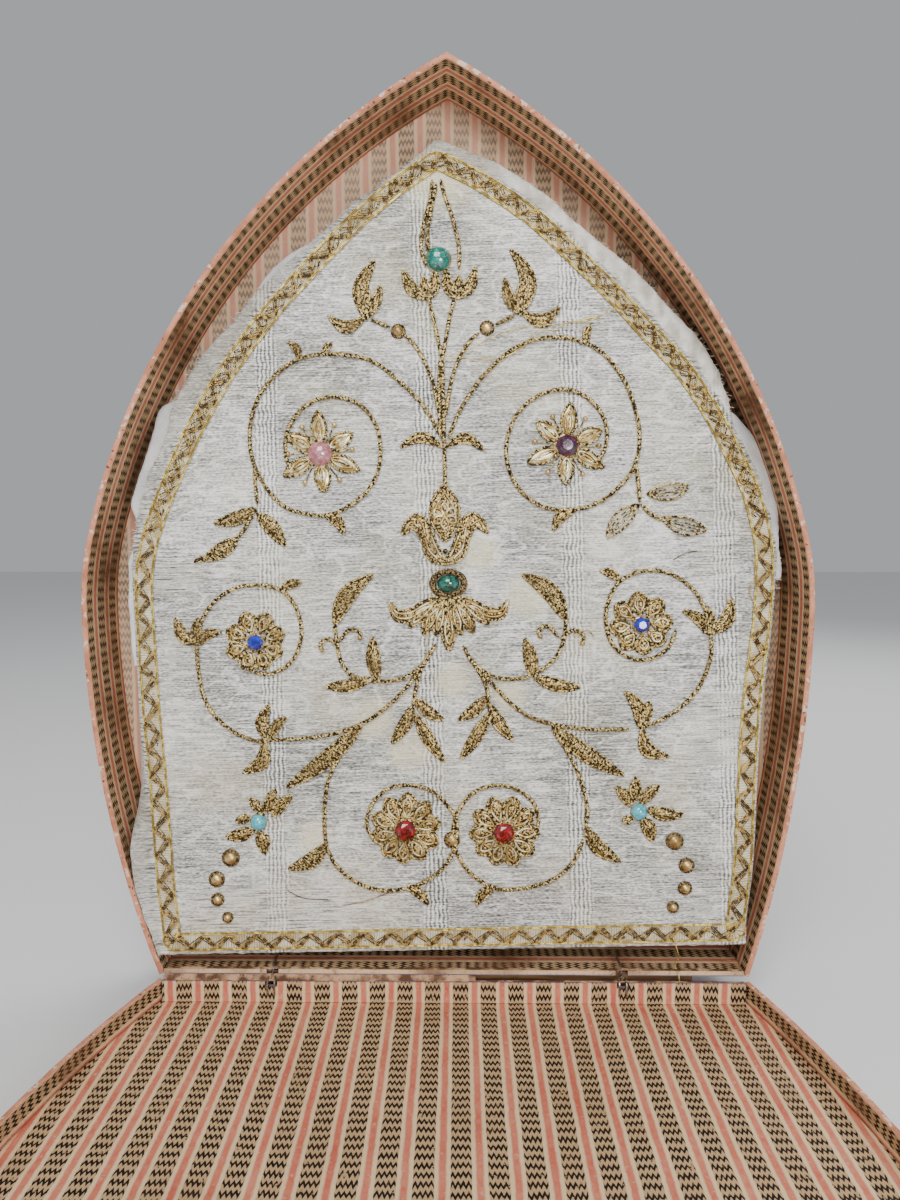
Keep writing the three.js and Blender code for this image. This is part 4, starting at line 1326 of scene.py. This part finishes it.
PALMETTE = [((-18, 156.5), 6.8, -1.6), ((-11, 152.5), 6.4, -0.8), ((-5, 152), 5.4, -0.4),
            ((1, 144.5), 7.0, 0), ((7, 152), 5.4, 0.4), ((13, 153), 6.4, 0.8), ((20.5, 157), 6.8, 1.6)]
WING_TOP = [(4, -6.5), (9, -7.2), (14, -9.2), (19, -12), (24.3, -12.2), (28.7, -8.6)]
WING_LOW = [(3, -8), (9, -12.2), (14.5, -15.8), (20.5, -18.2), (26.6, -16.4), (28.7, -8.6)]
emerald_place = middle_of("stone_emerald")
for sign in (-1, 1):
    top, low = ([emerald_place + Vector((sign * u, v)) for u, v in edge] for edge in (WING_TOP, WING_LOW))
    shape(top, low, "chopped_gold", True, False)
    for t in (0.3, 0.7):
        LIGHT_LOOPS.extend(laid([a.lerp(b, t) for a, b in zip(top[1:], low[1:5] + [top[5]])], 1.5))
for tip, width, bend in PALMETTE:
    root = Vector((1.2 + tip[0] * 0.16, 170.5))
    leaf(root, tip, width, bend, "chopped_gold", False, 1.25)
    loop = leaf_edges(root.lerp(Vector(tip), 0.3), root.lerp(Vector(tip), 0.86), width * 0.5, bend * 0.5, 1.2)
    pale_pair(loop)

FLEUR_OUTLINE = [(0, 186), (6, 187.5), (9.5, 191.5), (11.5, 198), (15, 203.5), (20.5, 201), (19.5, 206),
                 (14.5, 210.5), (9, 208.5), (6.5, 203), (3.5, 195), (0, 188)]
FLEUR_LOOPS = [((4, 189), (8, 193.5), (9.5, 199)), ((2, 190), (4.5, 194.5), (6.6, 200)),
               ((9.5, 200), (10.5, 205), (13, 208.6)), ((12.5, 204.5), (16.5, 206.8), (19, 203))]
SPANGLES = ((0, 192.5), (5, 192), (8.6, 197), (11.8, 203.4))
DARK_SPANGLES = []
for sign in (-1, 1):
    edge = [Vector((sign * u + 0.4, v)) for u, v in FLEUR_OUTLINE]
    shape(edge[:6], edge[-1:-7:-1], "chopped_gold", False, False)
    shape([edge[4], edge[5], edge[6]], [edge[8], edge[7], edge[6]], "chopped_gold", False, False)
    OUTLINES.extend(twisted(edge, 0.4, 2, 2.5, 0.95, 0.6, False))
    for a, b, c in FLEUR_LOOPS:
        LIGHT_LOOPS.extend(laid([(sign * p[0] + 0.4, p[1]) for p in (a, b, c)], 1.5))
    for u, v in SPANGLES:
        DARK_SPANGLES.append((Vector((sign * u + 0.4, v)), 1.25))
leaf((0.5, 197), (0.5, 224), 14.5, 0, "chopped_gold", False, 1.1)
LIGHT_LOOPS.extend(laid([(-4.6, 206), (-4.4, 212), (-1.5, 218), (0.5, 220.5)], 1.5))
LIGHT_LOOPS.extend(laid([(5.6, 206), (5.4, 212), (2.5, 218), (0.5, 220.5)], 1.5))
FLORET = Vector((0.5, 209.5))
for i in range(6):
    petal = leaf_edges(ray(FLORET, 30 + 60 * i, 0.9), ray(FLORET, 30 + 60 * i, 6.2), 3.4, 0, 1.2, 6)
    pale_pair(petal, 1.7)
print(len(MOUNDS["chopped_gold"]), "gold mounds,", len(MOUNDS["pale_gold"]), "pale ones")

# %% Make the mounds and their threads
def mounds_piece(name, shapes, finish):
    bm = bmesh.new()
    for left, right in shapes:
        count = len(left)
        grid = bmesh.ops.create_grid(bm, x_segments=count - 1, y_segments=4, size=1)["verts"]
        for vert in grid:
            i, t = round((vert.co.x + 1) / 2 * (count - 1)), (vert.co.y + 1) / 2
            spot = Vector(right[i]).lerp(Vector(left[i]), t)
            swell = math.sin(math.pi * i / (count - 1)) * math.sin(math.pi * t)
            vert.co = on_face(spot.x, spot.y, 0.15 + 1.0 * swell ** 0.6 if swell > 0 else 0.1)
    bmesh.ops.remove_doubles(bm, verts=bm.verts, dist=1e-6)
    bmesh.ops.recalc_face_normals(bm, faces=bm.faces)
    for face in bm.faces:
        if face.normal.dot(OUT_AXIS) < 0:
            face.normal_flip()
    return finished(bm, name, (finish,), "case")


mounds_piece("leaf_stitches", MOUNDS["chopped_gold"], "chopped_gold")
mounds_piece("petal_stitches", MOUNDS["pale_gold"], "pale_gold")
thread_piece("leaf_outlines", OUTLINES, 0.38, "gold_cord")
thread_piece("leaf_ribs", RIBS, 0.36, "gold_cord")
thread_piece("petal_loops", LIGHT_LOOPS, 0.5, "pale_gold")

# %% [markdown]
# Small gilt bosses are sewn on in curved rows, and knobs end the stamens. A boss is a low dome inside a
# ring of beads. It starts as half a sphere, with its ring made from many tiny ones, and it is set where
# the frame has its own.

# %% Bosses and knobs
def gilt(start):
    vector = object_vector(start)
    wear, spot = vector.noise(2.2, 3), vector.noise(7, 3)
    colour = spot.rise(0.35, 0.7).colour(rgb(232, 206, 146), rgb(164, 134, 82))
    colour = wear.rise(0.6, 0.7).colour(colour, rgb(70, 52, 32))
    return {"Base Color": colour, "Metallic": 0.85 - wear.rise(0.6, 0.72) * 0.4,
            "Roughness": 0.26 + wear * 0.25, "Normal": wear.bump(0.15)}


material("gilt_metal", gilt)


def on_silk(bm, verts, centre, scale, lift=0.0):
    """Sets points made round the origin, with Z outwards, on the silk at a place."""
    u0, v0 = centre
    for vert in verts:
        p = vert.co
        vert.co = on_face(u0, v0, lift) + (U_AXIS * p.x * scale[0] + V_AXIS * p.y * scale[1]
                                           + OUT_AXIS * p.z * scale[2]) * MM


def dome(bm, centre, scale, lift=0.0, segments=20, rings=12):
    made = bmesh.ops.create_uvsphere(bm, u_segments=segments, v_segments=rings, radius=1)["verts"]
    low = [v for v in made if v.co.z < -0.35]
    bmesh.ops.delete(bm, geom=low, context="VERTS")
    on_silk(bm, [v for v in made if v.is_valid], centre, scale, lift)


def bead_ring(bm, centre, radii, bead, count, lift):
    """Small round beads in a ring."""
    for i in range(count):
        angle = 2 * math.pi * i / count
        made = bmesh.ops.create_icosphere(bm, subdivisions=1, radius=bead)["verts"]
        for vert in made:
            vert.co += Vector((radii[0] * math.cos(angle), radii[1] * math.sin(angle), 0))
        on_silk(bm, made, centre, (1, 1, 1), lift)


BOSSES = ["boss_top_left", "boss_top_right", "boss_middle"]
BOSSES += [f"boss_{side}_{i}" for side in ("left", "right") for i in (1, 2, 3, 4)]
bm, rings = bmesh.new(), bmesh.new()
for node in BOSSES:
    low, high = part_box(node)
    centre, radius = middle_of(node), (high.x - low.x) / 2 / MM
    dome(bm, centre, (radius * 0.66, radius * 0.66, 2.0), 0.7)
    dome(rings, centre, (radius * 0.96, radius * 0.96, 0.8), 0.5)
    bead_ring(rings, centre, (radius * 0.84, radius * 0.84), 0.5, 14, 1.15)
CURL_KNOBS = [(-60.4, 146.2), (-41.8, 151.6), (65.4, 146.6), (45.2, 150.6)]
for centre, radius in KNOBS + [(Vector(place), 1.3) for place in CURL_KNOBS]:
    dome(bm, centre, (radius, radius, radius), 0.7, 10, 6)
bosses = finished(bm, "gilt_bosses", ("gilt_metal",), "case")
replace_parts(bosses, *BOSSES)
finished(rings, "boss_rings", ("dark_gold",), "case")
bm = bmesh.new()
for centre, radius in DARK_SPANGLES:
    dome(bm, centre, (radius, radius, 0.5), 1.4, 14, 6)
finished(bm, "fleur_spangles", ("dark_gold",), "case")

# %% [markdown]
# The stones are glass. The pink, green and turquoise ones are smooth opaque domes, the violet, blue and
# red ones are cut, and the emerald is a domed oval in a rope of gilt wire. A cut stone starts as a cone
# whose top is inset, raised and turned twice for its facets. Each but the emerald sits in a thin gilt cup,
# and small claws hold the cut ones.

# %% Glass finishes
def glass(tint, deep, cloudy=0.0):
    def paint(start):
        vector = object_vector(start)
        cloud = vector.noise(2.4, 3)
        colour = cloud.rise(0.35, 0.7).colour(deep, tint)
        vein = vector.noise(1.5, 4).rise(0.58, 0.64) * cloudy
        return {"Base Color": vein.colour(colour, rgb(240, 225, 215)), "Roughness": 0.05 + cloud * 0.1}
    return paint


STONES = {
    "green": (rgb(14, 150, 134), rgb(4, 96, 84), 0.25, "dome"),
    "pink": (rgb(206, 142, 148), rgb(160, 92, 102), 0.35, "dome"),
    "turquoise": (rgb(96, 208, 222), rgb(44, 168, 192), 0.15, "dome"),
    "violet": (rgb(92, 26, 74), rgb(30, 6, 28), 0.0, "cut"),
    "blue": (rgb(28, 64, 214), rgb(8, 20, 130), 0.0, "cut"),
    "red": (rgb(168, 8, 16), rgb(74, 0, 6), 0.0, "cut"),
    "emerald": (rgb(8, 132, 108), rgb(1, 52, 46), 0.0, "dome"),
}
for name, (tint, deep, cloudy, _) in STONES.items():
    material(
        name + "_stone", glass(tint, deep, cloudy), Coat_Weight=1.0, Coat_Roughness=0.03, IOR=1.6)

# %% Stones and their settings
PLACES = {
    "stone_green_top": "green", "stone_pink": "pink", "stone_violet": "violet", "stone_blue_left": "blue",
    "stone_blue_right": "blue", "stone_red_left": "red", "stone_red_right": "red",
    "stone_turquoise_left": "turquoise", "stone_turquoise_right": "turquoise", "stone_emerald": "emerald",
}


def cut_stone(bm, centre, radius, height, lift):
    """A round stone with a table and three rings of facets."""
    made = bmesh.ops.create_cone(
        bm, cap_ends=True, segments=8, radius1=1.0, radius2=0.92, depth=0.35)["verts"]
    top = [f for f in bm.faces if all(v in made for v in f.verts) and f.normal.z > 0.9]
    for inward, rise in ((0.2, 0.34), (0.26, 0.26)):
        bmesh.ops.inset_region(bm, faces=top, thickness=inward, depth=0)
        turned = {v for f in top for v in f.verts}
        bmesh.ops.translate(bm, verts=list(turned), vec=(0, 0, rise))
        bmesh.ops.rotate(bm, verts=list(turned), cent=(0, 0, 0),
                         matrix=Matrix.Rotation(math.pi / 8, 3, "Z"))
    whole = list(bm.verts)
    for vert in whole:
        vert.co.z += 0.17
    on_silk(bm, whole, centre, (radius, radius, height), lift)


settings = bmesh.new()
for node, kind in PLACES.items():
    low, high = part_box(node)
    centre = middle_of(node)
    wide, high_half = (high.x - low.x) / 2 / MM, (high.z - low.z) / 2 / MM
    bm = bmesh.new()
    if STONES[kind][3] == "dome":
        share = 0.82 if kind == "emerald" else 0.97
        dome(bm, centre, (wide * share, high_half * share, min(wide, 5.0) * 0.82), 0.9, 32, 20)
    else:
        cut_stone(bm, centre, wide * 0.95, 3.6, 0.9)
    bmesh.ops.recalc_face_normals(bm, faces=bm.faces)
    stone = finished(bm, node + "_glass", (kind + "_stone",), "case",
                     STONES[kind][3] == "dome")
    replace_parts(stone, node)
    if kind == "emerald":
        continue
    dome(settings, centre, (wide * 1.06, wide * 1.06, 1.1), 0.45, 24, 8)
    claws = 6 if STONES[kind][3] == "cut" else 0
    for i in range(claws):
        spot = ray(centre, 30 + 60 * i, wide * 0.94)
        dome(settings, spot, (0.75, 0.75, 2.2), 1.0, 8, 6)
finished(settings, "stone_settings", ("gilt_metal",), "case")

emerald_low, emerald_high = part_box("emerald_bezel")
oval = [(high - low) / 2 / MM * 0.86 - 1.3 for low, high in
        ((emerald_low.x, emerald_high.x), (emerald_low.z, emerald_high.z))]
rope = []
for strand in range(3):
    run = []
    for i in range(181):
        angle, turn = 2 * math.pi * i / 180, 2 * math.pi * (11 * i / 180 + strand / 3)
        spread = 1 + 0.11 * math.cos(turn)
        place = emerald_place + Vector((oval[0] * spread * math.cos(angle),
                                        oval[1] * spread * math.sin(angle)))
        run.append((on_face(place.x, place.y, 1.6 + 0.55 * math.sin(turn)), 1.0))
    rope.append(run)
for inner, lift in ((0.86, 1.7), (1.2, 0.7)):
    rope.append([(on_face(emerald_place.x + oval[0] * inner * math.cos(a * math.pi / 30),
                          emerald_place.y + oval[1] * inner * math.sin(a * math.pi / 30), lift), 0.8)
                 for a in range(61)])
bezel = thread_piece("emerald_rope", rope, 0.55, "dark_gold", "case", 1)
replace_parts(bezel, "emerald_bezel")

# %% [markdown]
# Time has loosened the mitre's threads. Where the silk has split, its white cross threads lie bare in
# bundles. A few yellow threads have come away from the trimming: one wanders across the upper right, one
# hangs over the foot of the case. The bare threads and the fringe are drawn by a seeded generator, so
# every run is the same, and the loose threads follow short lists of places.

# %% Bare and loose threads
import random
draw = random.Random(11)


def white_thread(start):
    vector = object_vector(start)
    shade = vector.noise(3, 2)
    return {"Base Color": shade.rise(0.3, 0.7).colour(rgb(214, 210, 198), rgb(250, 248, 240)),
            "Roughness": 0.6 + shade * 0.2}


material("white_thread", white_thread)
BARE = (((133, 104), 15, 17, 120, 13), ((-130, 182), 11, 8, 46, 12), ((-131, 95), 7, 36, 44, 6),
        ((-100, 21), 34, 11, 46, 8), ((128, 190), 8, 22, 26, 7), ((118, 28), 20, 20, 26, 8),
        ((-128, 148), 8, 14, 16, 7), ((20, 296), 60, 8, 14, 8), ((-40, 22), 26, 8, 16, 8))
bare = []
for (u0, v0), wide, high, count, length in BARE:
    for _ in range(count):
        u, v = u0 + draw.uniform(-wide, wide), v0 + draw.uniform(-high, high)
        span, slope, bow = length * draw.uniform(0.4, 1.3), draw.uniform(-0.03, 0.03), draw.uniform(0.1, 0.8)
        run = []
        for i in range(5):
            t = i / 4
            at = u - span / 2 + span * t
            at = max(9.4 - trim_half(-1, v), min(trim_half(1, v) - 9.4, at))
            run.append((on_face(at, v + slope * span * t, 0.3 + bow * math.sin(math.pi * t)), 1 - 0.4 * t))
        bare.append(run)
thread_piece("bare_threads", bare, 0.2, "white_thread")

fringe = []
for side in (-1, 1):
    for i in range(150):
        v = 172 + 213 * i / 150 + draw.uniform(-0.6, 0.6)
        edge, far = silk_half(side, v) - 1.0, draw.uniform(0.6, 3.2)
        run = [(on_face(side * (edge + far * t), v + draw.uniform(-0.3, 0.3) * 3 * t, -0.2 - 0.4 * t * t), 1)
               for t in (0, 0.5, 1)]
        fringe.append(run)
thread_piece("silk_fringe", fringe, 0.14, "white_thread")

STRAY = [
    [(0, 287), (18, 284.5), (30, 285), (40, 290), (46, 296.5), (54, 297), (62, 301), (73, 302), (86, 308)],
    [(-2, 282), (12, 288), (28, 296), (44, 299.5), (60, 300.5), (78, 304)],
    [(148, 186), (149, 178), (146, 170), (149, 163)],
    [(-6, 176), (-8, 160), (-9.5, 146), (-10, 138)],
    [(62, 150), (68, 153), (71, 150)],
]
strays = [run for path in STRAY for run in laid(path, 1.2)]
thread_piece("stray_threads", strays, 0.24, "yellow_silk")
DARK = [[(-80, 30), (-72, 26), (-60, 25)], [(-53, 22), (-42, 24), (-30, 28)],
        [(110, 186), (116, 189), (122, 190)]]
thread_piece("dark_threads", [run for path in DARK for run in laid(path, 0.5)], 0.22, "torn_paper")

hang = [on_face(106, 4, 1.6), on_face(107, 0.5, 3.2), on_face(108, -4, 4.5)]
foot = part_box("case_wall_foot")
hang += [Vector((0.1115, RIM_Y + 0.003, foot[1].z + 0.0006)),
         Vector((0.1125, RIM_Y - 0.0005, foot[1].z - 0.0005)),
         Vector((0.1127, RIM_Y - 0.002, foot[0].z - 0.0035))]
thread_piece("hanging_thread", [[(p, 1.0) for p in hang]], 0.28, "yellow_silk")
